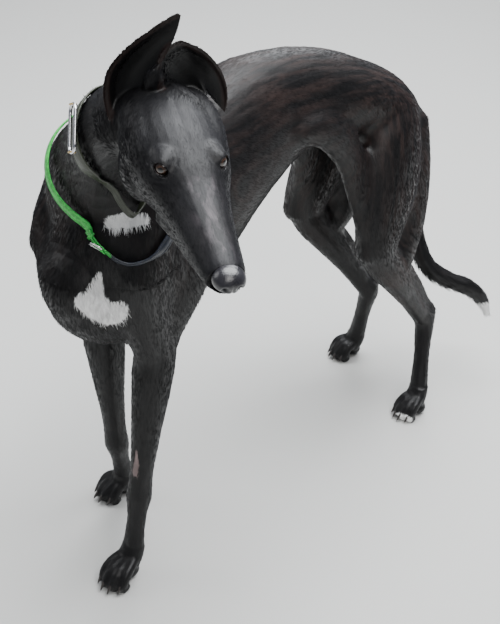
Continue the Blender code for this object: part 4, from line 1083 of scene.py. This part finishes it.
class GREYHOUND_OT_coat(bpy.types.Operator):
    """Cover the skin with small tufts of hair that lie along the body"""

    bl_idname = "greyhound.coat"
    bl_label = "Coat"

    def execute(self, context):
        settings = context.scene.greyhound_coat
        share = 1.0
        body, head = bpy.data.objects["body_skin"], bpy.data.objects["head_skin"]
        halfway = at(0, 0.26, 0).y
        plans = (
            ("coat_front", body, settings.body_tufts, 11, lambda place: (place[:, 1] < halfway) * 1.0),
            ("coat_rear", body, settings.body_tufts, 12, lambda place: (place[:, 1] >= halfway) * 1.0),
            ("coat_head", head, settings.head_tufts, 13, None),
        )
        for name, skin, count, seed, keep in plans:
            coat = tufts_on(skin, int(count * share), seed, name, keep)
            paint(coat, skin.data.materials[0])
            keep_on(coat)
        return {"FINISHED"}


class GREYHOUND_OT_eyes(bpy.types.Operator):
    """Make both eyes, with iris and pupil, and the rims of their lids"""

    bl_idname = "greyhound.eyes"
    bl_label = "Eyes"

    def execute(self, context):
        radius = (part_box("eye_left")[1].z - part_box("eye_left")[0].z) / 2
        for sign, side in SIDES:
            centre, axis, inner, above = eye_frame(sign)
            deselect()
            bpy.ops.mesh.primitive_uv_sphere_add(segments=64, ring_count=48, radius=radius * 0.985)
            eye = bpy.context.active_object
            eye.name = f"eyeball_{side}"
            points = points_of(eye.data)
            tilt = np.degrees(np.arccos(np.clip(points[:, 2] / (radius * 0.985), -1, 1)))
            points *= (1 + 0.045 * np.exp(-(tilt / 26) ** 2))[:, None]
            turn = np.array(Matrix((inner, above, axis)).transposed())
            set_points(eye.data, points @ turn.T + np.array(centre))
            face_out(eye)
            shade_smooth(eye)
            paint(eye, eye_material(f"eye_{side}", centre, axis, inner, above, radius))
            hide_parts(f"eye_{side}")
            keep_on(eye)
            rims = []
            for upper in (True, False):
                path = []
                for step in range(25):
                    turn = math.pi * step / 24
                    wide = 0.0118 * math.cos(turn)
                    high = (0.0076 if upper else -0.0070) * math.sin(turn) ** 1.2
                    flat = inner * wide + above * high
                    depth = math.sqrt(max(radius ** 2 - flat.length_squared, 0)) + 0.0004
                    path.append(centre + flat + axis * depth)
                thick = 0.0012 if upper else 0.0009
                radii = [thick * (0.45 + 0.55 * math.sin(math.pi * step / 24)) for step in range(25)]
                rims.append(wire("rim", path, radii, 12))
                # The upper rim is dark; the paler lower rim is a painted highlight along the lower lid
                tone = (0.008, 0.007, 0.008) if upper else (0.045, 0.038, 0.042)
                paint(rims[-1], skin_material("upper_lid" if upper else "lower_lid_highlight", tone, 0.28))
            corner = [centre + inner * wide + axis * math.sqrt(radius ** 2 - wide ** 2)
                      for wide in (0.0086, 0.0094, 0.0101, 0.0105)]
            rims.append(wire("corner", corner, [0.0008, 0.0014, 0.0015, 0.0009], 12))
            paint(rims[-1], skin_material("inner_corner", (0.060, 0.050, 0.055), 0.25))
            keep_on(join(rims, f"lid_rims_{side}"))
        return {"FINISHED"}


def eye_material(name, centre, axis, inner, above, radius):
    """Wet brown eye: pupil, iris with fine rays, dark rim."""
    shader = Shader(name)
    turn = Matrix((inner, above, axis)).to_euler()
    local = shader.node("Mapping", {"Vector": shader.place(), "Location": tuple(-(turn.to_matrix() @ centre)),
                                    "Rotation": tuple(turn)})
    parts = shader.tree.nodes.new("ShaderNodeSeparateXYZ")
    shader.tree.links.new(local, parts.inputs[0])
    flat = shader.math("SQRT", shader.math("ADD", shader.math("POWER", parts.outputs[0], 2.0),
                                           shader.math("POWER", parts.outputs[1], 2.0)))
    rays = shader.noise(shader.stretch(local, (900, 900, 120)), 1.0, 3.0, 0.6)
    iris = shader.mix(shader.ramp(rays, 0.3, 0.7), (0.022, 0.009, 0.004), (0.085, 0.036, 0.015))
    iris = shader.mix(shader.ramp(flat, radius * 0.30, radius * 0.62), iris, (0.010, 0.005, 0.003))
    colour = shader.mix(shader.ramp(flat, radius * 0.26, radius * 0.31), (0.002, 0.002, 0.002), iris)
    colour = shader.mix(shader.ramp(flat, radius * 0.66, radius * 0.76), colour, (0.060, 0.040, 0.038))
    return shader.finish(colour, None, 0.06, Specular_IOR_Level=0.6, Coat_Weight=1.0, Coat_Roughness=0.02)


def skin_material(name, colour, roughness):
    """Bare dark skin with fine creases."""
    shader = Shader(name)
    grain = shader.node("TexVoronoi", {"Vector": shader.place(), "Scale": 900.0})
    cloud = shader.noise(shader.place(), 160.0, 3.0)
    shade = shader.mix(cloud, tuple(value * 0.6 for value in colour), tuple(value * 1.8 for value in colour))
    return shader.finish(shade, shader.bump(grain, 0.0003, 0.6), roughness, Specular_IOR_Level=0.6)


class GREYHOUND_OT_nose(bpy.types.Operator):
    """Make the moist nose pad with its nostrils"""

    bl_idname = "greyhound.nose"
    bl_label = "Nose"

    def execute(self, context):
        deselect()
        bpy.ops.mesh.primitive_uv_sphere_add(segments=96, ring_count=64, radius=1.0)
        nose = bpy.context.active_object
        nose.name = "nose_pad"
        unit = points_of(nose.data)
        side, forward, up = unit[:, 0], unit[:, 1], unit[:, 2]
        wide = 0.0182 * (1 - 0.16 * smoothstep(0.1, -1.0, up))
        local = np.stack([side * wide, 0.2590 + forward * 0.0160, -0.0515 + up * 0.0150], axis=1)
        local[:, 1] -= 0.0030 * smoothstep(-0.2, -1.0, up) * (forward > -0.2)
        front = smoothstep(0.0, 0.5, forward)
        for sign in (1, -1):
            hole = ((local[:, 0] - sign * 0.0078) / 0.0034) ** 2 + ((local[:, 2] + 0.0525) / 0.0038) ** 2
            slit = ((local[:, 0] - sign * 0.0128) / 0.0042) ** 2 + ((local[:, 2] + 0.0575) / 0.0018) ** 2
            wing = ((local[:, 0] - sign * 0.0105) / 0.0065) ** 2 + ((local[:, 2] + 0.0500) / 0.0070) ** 2
            local[:, 1] += 0.0016 * np.exp(-wing) * front
            local[:, 1] -= (0.0075 * np.exp(-hole ** 1.5) + 0.0050 * np.exp(-slit)) * front
        groove = np.exp(-(local[:, 0] / 0.0011) ** 2) * smoothstep(-0.045, -0.053, local[:, 2])
        local[:, 1] -= 0.0016 * groove * front
        axes = np.array([HEAD_LEFT, HEAD_FORWARD, HEAD_UP])
        set_points(nose.data, local @ axes + np.array(HEAD_ORIGIN))
        face_out(nose)
        shade_smooth(nose)
        shader = Shader("nose_skin")
        pebbles = shader.node("TexVoronoi", {"Vector": shader.place(), "Scale": 620.0}, feature="SMOOTH_F1")
        cloud = shader.noise(shader.place(), 90.0, 3.0)
        colour = shader.mix(cloud, (0.0045, 0.0042, 0.0055), (0.020, 0.018, 0.024))
        paint(nose, shader.finish(colour, shader.bump(pebbles, 0.00025, 0.7), shader.ramp(cloud, 0.3, 0.7, 0.24, 0.38),
                                  Specular_IOR_Level=0.75, Coat_Weight=0.35, Coat_Roughness=0.30))
        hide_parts("nose")
        keep_on(nose)
        return {"FINISHED"}


class GREYHOUND_OT_claws(bpy.types.Operator):
    """Make the claws of the four paws"""

    bl_idname = "greyhound.claws"
    bl_label = "Claws"

    def execute(self, context):
        claws = []
        paws = (
            (at(0.021, -0.073, 0.012), (0.06, -1.0), 0.056, 0.050),
            (at(-0.119, 0.063, 0.012), (-0.25, -1.0), 0.056, 0.050),
            (at(0.126, 0.577, 0.012), (-0.25, -1.0), 0.050, 0.045),
            (at(-0.072, 0.652, 0.012), (-0.30, -1.0), 0.050, 0.045),
        )
        for paw, toes, length, width in paws:
            ahead = Vector((*toes, 0)).normalized()
            across = Vector((-ahead.y, ahead.x, 0))
            for offset in (-1.5, -0.5, 0.5, 1.5):
                reach = length * (0.60 if abs(offset) < 1 else 0.44)
                spread = across * offset * width * 0.25
                root = paw + spread * 1.02 + ahead * (reach * 0.90) + Vector((0, 0, 0.0050))
                point = paw + spread * 1.04 + ahead * (reach + 0.0105) - Vector((0, 0, 0.0075))
                path, radii = [], []
                for step in range(13):
                    t = step / 12
                    path.append(root.lerp(point, t) + Vector((0, 0, 0.0030 * math.sin(math.pi * t))))
                    radii.append(0.0031 * (1 - t) ** 0.55 + 0.0005)
                claws.append(wire("claw", path, radii, 12))
        claws = join(claws, "claws")
        shader = Shader("horn")
        rings = shader.noise(shader.stretch(shader.place(), (900, 200, 900)), 1.0, 2.0)
        colour = shader.mix(rings, (0.010, 0.009, 0.009), (0.060, 0.050, 0.045))
        paint(claws, shader.finish(colour, shader.bump(rings, 0.0002), 0.30, Coat_Weight=0.2))
        keep_on(claws)
        return {"FINISHED"}


def leather_material(name, colour, roughness, second=None):
    """Leather with pores, creases and a rubbed surface, in one colour or with a second one where marked."""
    shader = Shader(name)
    place = shader.place()
    pores = shader.node("TexVoronoi", {"Vector": place, "Scale": 1400.0})
    creases = shader.noise(place, 260.0, 4.0, 0.65, 0.5)
    rubbed = shader.noise(place, 60.0, 3.0)
    shade = shader.mix(shader.ramp(creases, 0.35, 0.65), tuple(value * 0.55 for value in colour), colour)
    shade = shader.mix(shader.ramp(rubbed, 0.55, 0.75, 0.0, 0.5), shade, tuple(min(1, v * 1.7) for v in colour))
    if second is not None:
        other = shader.mix(shader.ramp(creases, 0.35, 0.65), tuple(value * 0.5 for value in second), second)
        shade = shader.mix(shader.attribute("padded"), shade, other)
    height = shader.math("ADD", creases, shader.math("MULTIPLY", pores, 0.5))
    return shader.finish(shade, shader.bump(height, 0.0003, 0.8),
                         shader.ramp(rubbed, 0.3, 0.7, roughness - 0.08, roughness + 0.08), Specular_IOR_Level=0.5)


def metal_material(name, colour, roughness):
    """Plated metal with fine scratches and dull spots."""
    shader = Shader(name)
    scratches = shader.noise(shader.stretch(shader.place(), (300, 2400, 2400)), 1.0, 2.0)
    spots = shader.noise(shader.place(), 220.0, 3.0)
    shade = shader.mix(shader.ramp(spots, 0.5, 0.75, 0.0, 0.6), colour, tuple(value * 0.55 for value in colour))
    return shader.finish(shade, shader.bump(scratches, 0.00006, 0.6),
                         shader.ramp(spots, 0.3, 0.8, roughness, roughness + 0.2), Metallic=1.0)


def flat_strap(name, loop, widths, thickness, closed=True, raise_by=0.0):
    """Strap along a loop, with rounded edges and a sewn channel near each of them."""
    count = len(loop)
    rings = []
    thicknesses = np.broadcast_to(thickness, count)
    for index, (here, lift) in enumerate(loop):
        thickness = thicknesses[index]
        if closed:
            run = loop[(index + 1) % count][0] - loop[index - 1][0]
        else:
            run = loop[min(index + 1, count - 1)][0] - loop[max(index - 1, 0)][0]
        edge = run.cross(lift).normalized()
        half = widths[index] / 2
        lip = min(thickness * 0.45, half * 0.4)
        profile = [(-half + lip, 0), (half - lip, 0), (half - lip * 0.2, thickness * 0.2), (half, thickness * 0.5),
                   (half - lip * 0.2, thickness * 0.82), (half - lip, thickness), (half - lip - 0.0006, thickness),
                   (half - lip - 0.0011, thickness * 0.86), (half - lip - 0.0016, thickness), (0, thickness * 1.04),
                   (-half + lip + 0.0016, thickness), (-half + lip + 0.0011, thickness * 0.86),
                   (-half + lip + 0.0006, thickness), (-half + lip, thickness),
                   (-half + lip * 0.2, thickness * 0.82), (-half, thickness * 0.5),
                   (-half + lip * 0.2, thickness * 0.2)]
        rings.append([here + edge * across + lift * (up + raise_by) for across, up in profile])
    return ring_loft(name, rings, closed)


def nearest_step(loop, place):
    """Step of a loop nearest to a place."""
    return min(range(len(loop)), key=lambda index: (loop[index][0] - place).length)


def loop_axes(loop, step):
    """At a step of a loop: the point, the way along it, across it and out of it."""
    here, out = loop[step % len(loop)]
    run = loop[(step + 1) % len(loop)][0] - loop[(step - 1) % len(loop)][0]
    run = (run - out * run.dot(out)).normalized()
    return here, run, out.cross(run).normalized(), out


def rounded_link(name, middle, run, across, length, width, radius, corner, sides=14):
    """Wire link with rounded corners."""
    path = []
    half_long, half_wide = length / 2 - radius - corner, width / 2 - radius - corner
    for quarter, (a, b) in enumerate(((1, 1), (-1, 1), (-1, -1), (1, -1))):
        base = middle + run * a * half_long + across * b * half_wide
        for step in range(9):
            turn = math.pi / 2 * (quarter + step / 8)
            path.append(base + (run * math.cos(turn) + across * math.sin(turn)) * corner)
    kept = [path[0]]
    for point in path[1:]:
        if (point - kept[-1]).length > 0.0004:
            kept.append(point)
    return wire(name, kept, radius, sides, closed=True)


class GREYHOUND_OT_upper_collar(bpy.types.Operator):
    """Make the olive collar with its tall ring and loops"""

    bl_idname = "greyhound.upper_collar"
    bl_label = "Upper collar"

    def execute(self, context):
        settings = context.scene.greyhound_collar
        centre = UPPER_COLLAR[0]
        loop = [(point - lift * 0.0012, lift) for point, lift in LOOPS["upper"]]
        widths = []
        for point, lift in loop:
            share = (point - centre).normalized().dot(NAPE)
            share = min(1.0, max(0.0, (share - 0.05) / 0.45))
            share = share * share * (3 - 2 * share)
            widths.append(settings.strap_width + (settings.nape_width - settings.strap_width) * share)
        strap = flat_strap("upper_strap", loop, widths, 0.0024)
        paint(strap, leather_material("olive_leather", tuple(settings.olive), 0.42))
        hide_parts("collar_upper")
        keep_on(strap)
        step = nearest_step(loop, at(0.036, -0.142, 0.775))
        here, run, across, out = loop_axes(loop, step)
        metal = metal_material("plated_steel", (0.72, 0.72, 0.74), 0.14)
        ring = rounded_link("tall_ring", here + out * 0.0062 + across * 0.012, run, across, 0.060, 0.024, 0.0021, 0.0095)
        paint(ring, metal)
        loops = []
        for end in (1, -1):
            spot = here + out * 0.0062 + across * 0.012 + run * end * 0.0275
            loops.append(rounded_link("loop", spot, across, out, 0.011, 0.009, 0.0011, 0.003, 10))
        brass = join(loops, "brass_loops")
        paint(brass, metal_material("worn_brass", (0.62, 0.45, 0.20), 0.28))
        keep_on(brass)
        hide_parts("collar_ring")
        keep_on(ring)
        return {"FINISHED"}


class GREYHOUND_OT_lower_collar(bpy.types.Operator):
    """Make the green collar with its buckle, keeper and padded part"""

    bl_idname = "greyhound.lower_collar"
    bl_label = "Lower collar"

    def execute(self, context):
        settings = context.scene.greyhound_collar
        loop = [(point - lift * 0.0012, lift) for point, lift in LOOPS["lower"]]
        count = len(loop)
        step = nearest_step(loop, at(0.012, -0.100, 0.600))
        way = 1 if (loop[(step + 8) % count][0] - at(0.0306, -0.0619, 0.6082)).length < (
            loop[(step - 8) % count][0] - at(0.0306, -0.0619, 0.6082)).length else -1
        padding = np.zeros(count)
        for reach in range(6, 62):
            padding[(step + way * reach) % count] = smoothstep(5, 9, reach) * smoothstep(62, 58, reach)
        widths = settings.green_width * (1 + 0.16 * padding)
        strap = flat_strap("lower_strap", loop, widths, 0.0026 + 0.0012 * padding)
        points = points_of(strap.data)
        ring = np.array([tuple(place) for place, lift in loop])
        nearest = np.array([np.argmin(np.linalg.norm(ring - point, axis=1)) for point in points])
        layer = strap.data.attributes.new("padded", "FLOAT", "POINT")
        layer.data.foreach_set("value", (padding[nearest] > 0.5).astype(np.float32))
        leather = leather_material("green_leather", tuple(settings.green), 0.38, tuple(settings.navy))
        paint(strap, leather)
        free = [loop[(step - way * reach) % count] for reach in range(-5, 9)]
        sizes = [settings.green_width * 0.94 * min(1.0, 0.30 + 0.35 * place) for place in range(len(free))]
        tongue = flat_strap("strap_end", free, sizes, 0.0022, False, 0.0030)
        keeper = []
        here, run, across, out = loop_axes(loop, step - way * 5)
        half = settings.green_width / 2 + 0.0016
        for turn in range(25):
            angle = 2 * math.pi * turn / 24
            flat = across * half * max(-1, min(1, 1.25 * math.cos(angle)))
            keeper.append((here + flat + out * (0.0030 + 0.0030 * max(-1, min(1, 1.25 * math.sin(angle)))),
                           (across * math.cos(angle) + out * math.sin(angle)).normalized()))
        keeper = flat_strap("keeper", keeper[:-1], [0.0042] * 24, 0.0010)
        for piece in (tongue, keeper):
            paint(piece, leather_material("green_strap", tuple(settings.green), 0.38))
        strap = join([strap, tongue, keeper], "lower_strap")
        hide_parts("collar_lower")
        keep_on(strap)
        here, run, across, out = loop_axes(loop, step)
        metal = metal_material("buckle_steel", (0.70, 0.70, 0.70), 0.18)
        frame_link = rounded_link("buckle_frame", here + out * 0.0056, run, across, 0.018, 0.021, 0.0013, 0.003)
        pin = wire("pin", [here + run * (0.0085 * t) + out * (0.0062 + 0.0008 * math.sin(math.pi * (t + 1) / 2))
                           for t in np.linspace(-1, 1, 9)], 0.0010, 10)
        buckle = join([frame_link, pin], "buckle_frame")
        paint(buckle, metal)
        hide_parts("collar_buckle")
        keep_on(buckle)
        return {"FINISHED"}


class GREYHOUND_OT_stage(bpy.types.Operator):
    """Set the pale floor, the soft lights and the camera"""

    bl_idname = "greyhound.stage"
    bl_label = "Stage"

    def execute(self, context):
        settings = context.scene.greyhound_stage
        deselect()
        bpy.ops.mesh.primitive_plane_add(size=14.0, location=(0, 0, 0))
        floor = bpy.context.active_object
        floor.name = "floor"
        shader = Shader("pale_floor")
        grain = shader.noise(shader.place(), 3.0, 3.0)
        colour = tuple(settings.floor)
        shade = shader.mix(grain, tuple(value * 0.97 for value in colour), colour)
        paint(floor, shader.finish(shade, None, 0.75, Specular_IOR_Level=0.2))
        floor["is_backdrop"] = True
        world = bpy.data.worlds.new("studio")
        context.scene.world = world
        world.use_nodes = True
        world.node_tree.nodes["Background"].inputs[0].default_value = (0.82, 0.88, 1.0, 1)
        world.node_tree.nodes["Background"].inputs[1].default_value = 0.22
        lights = (
            ("top", (0.0, 0.5, 3.0), (0, 0, 0.5), 3.0, 230, (0.96, 0.98, 1.0)),
            ("key", (2.0, -1.6, 3.0), (0, -0.1, 0.5), 2.0, 45, (1.0, 0.98, 0.96)),
            ("back", (-1.8, 2.8, 2.2), (0, 0.1, 0.6), 2.0, 55, (0.95, 0.97, 1.0)),
            ("side", (-2.6, -1.6, 2.2), (0, -0.1, 0.5), 1.8, 22, (1.0, 1.0, 1.0)),
        )
        for name, place, target, size, power, colour in lights:
            data = bpy.data.lights.new(name, "AREA")
            data.shape = "DISK"
            data.size = size
            data.energy = power
            data.color = colour
            light = bpy.data.objects.new(name, data)
            context.scene.collection.objects.link(light)
            light.location = place
            light.rotation_euler = (Vector(target) - Vector(place)).to_track_quat("-Z", "Y").to_euler()
        camera_data = bpy.data.cameras.new("camera")
        camera = bpy.data.objects.new("camera", camera_data)
        context.scene.collection.objects.link(camera)
        camera_data.lens = settings.lens
        camera_data.sensor_width = 36
        camera_data.clip_start = 0.05
        camera_data.clip_end = 60
        heading, drop, roll = settings.heading, settings.drop, settings.roll
        ahead = Vector((-math.sin(heading) * math.cos(drop), math.cos(heading) * math.cos(drop), -math.sin(drop)))
        right = Vector((math.cos(heading), math.sin(heading), 0))
        above = right.cross(ahead)
        tilted = right * math.cos(roll) + above * math.sin(roll)
        upright = above * math.cos(roll) - right * math.sin(roll)
        camera.matrix_world = Matrix.Translation(Vector(settings.camera_place) + SHIFT) @ Matrix(
            (tilted, upright, -ahead)).transposed().to_4x4()
        context.scene.camera = camera
        return {"FINISHED"}


class GREYHOUND_PT_panel(bpy.types.Panel):
    """Steps and settings of the greyhound"""

    bl_idname = "GREYHOUND_PT_panel"
    bl_label = "Greyhound"
    bl_space_type = "VIEW_3D"
    bl_region_type = "UI"
    bl_category = "Greyhound"

    def draw(self, context):
        for step in STEPS:
            self.layout.operator(step.bl_idname)
        for settings in (context.scene.greyhound_coat, context.scene.greyhound_collar, context.scene.greyhound_stage):
            for key in settings.__annotations__:
                self.layout.prop(settings, key)


STEPS = (GREYHOUND_OT_skin, GREYHOUND_OT_upper_collar, GREYHOUND_OT_lower_collar, GREYHOUND_OT_coat,
         GREYHOUND_OT_eyes, GREYHOUND_OT_nose, GREYHOUND_OT_claws, GREYHOUND_OT_stage)
CLASSES = (CoatSettings, CollarSettings, StageSettings, *STEPS, GREYHOUND_PT_panel)


def register():
    """Add the settings, the steps and the panel."""
    for item in CLASSES:
        bpy.utils.register_class(item)
    bpy.types.Scene.greyhound_coat = bpy.props.PointerProperty(type=CoatSettings)
    bpy.types.Scene.greyhound_collar = bpy.props.PointerProperty(type=CollarSettings)
    bpy.types.Scene.greyhound_stage = bpy.props.PointerProperty(type=StageSettings)


def unregister():
    """Remove what register adds."""
    del bpy.types.Scene.greyhound_stage
    del bpy.types.Scene.greyhound_collar
    del bpy.types.Scene.greyhound_coat
    for item in reversed(CLASSES):
        bpy.utils.unregister_class(item)


def corners():
    """Corners of the shown object as plain lists."""
    return [[round(value, 6) for value in corner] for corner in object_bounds()]


def main():
    """Make every piece."""
    register()
    bpy.ops.greyhound.skin()
    bpy.ops.greyhound.upper_collar()
    bpy.ops.greyhound.lower_collar()
    bpy.ops.greyhound.coat()
    bpy.ops.greyhound.eyes()
    bpy.ops.greyhound.nose()
    bpy.ops.greyhound.claws()
    bpy.ops.greyhound.stage()


if __name__ == "__main__":
    main()
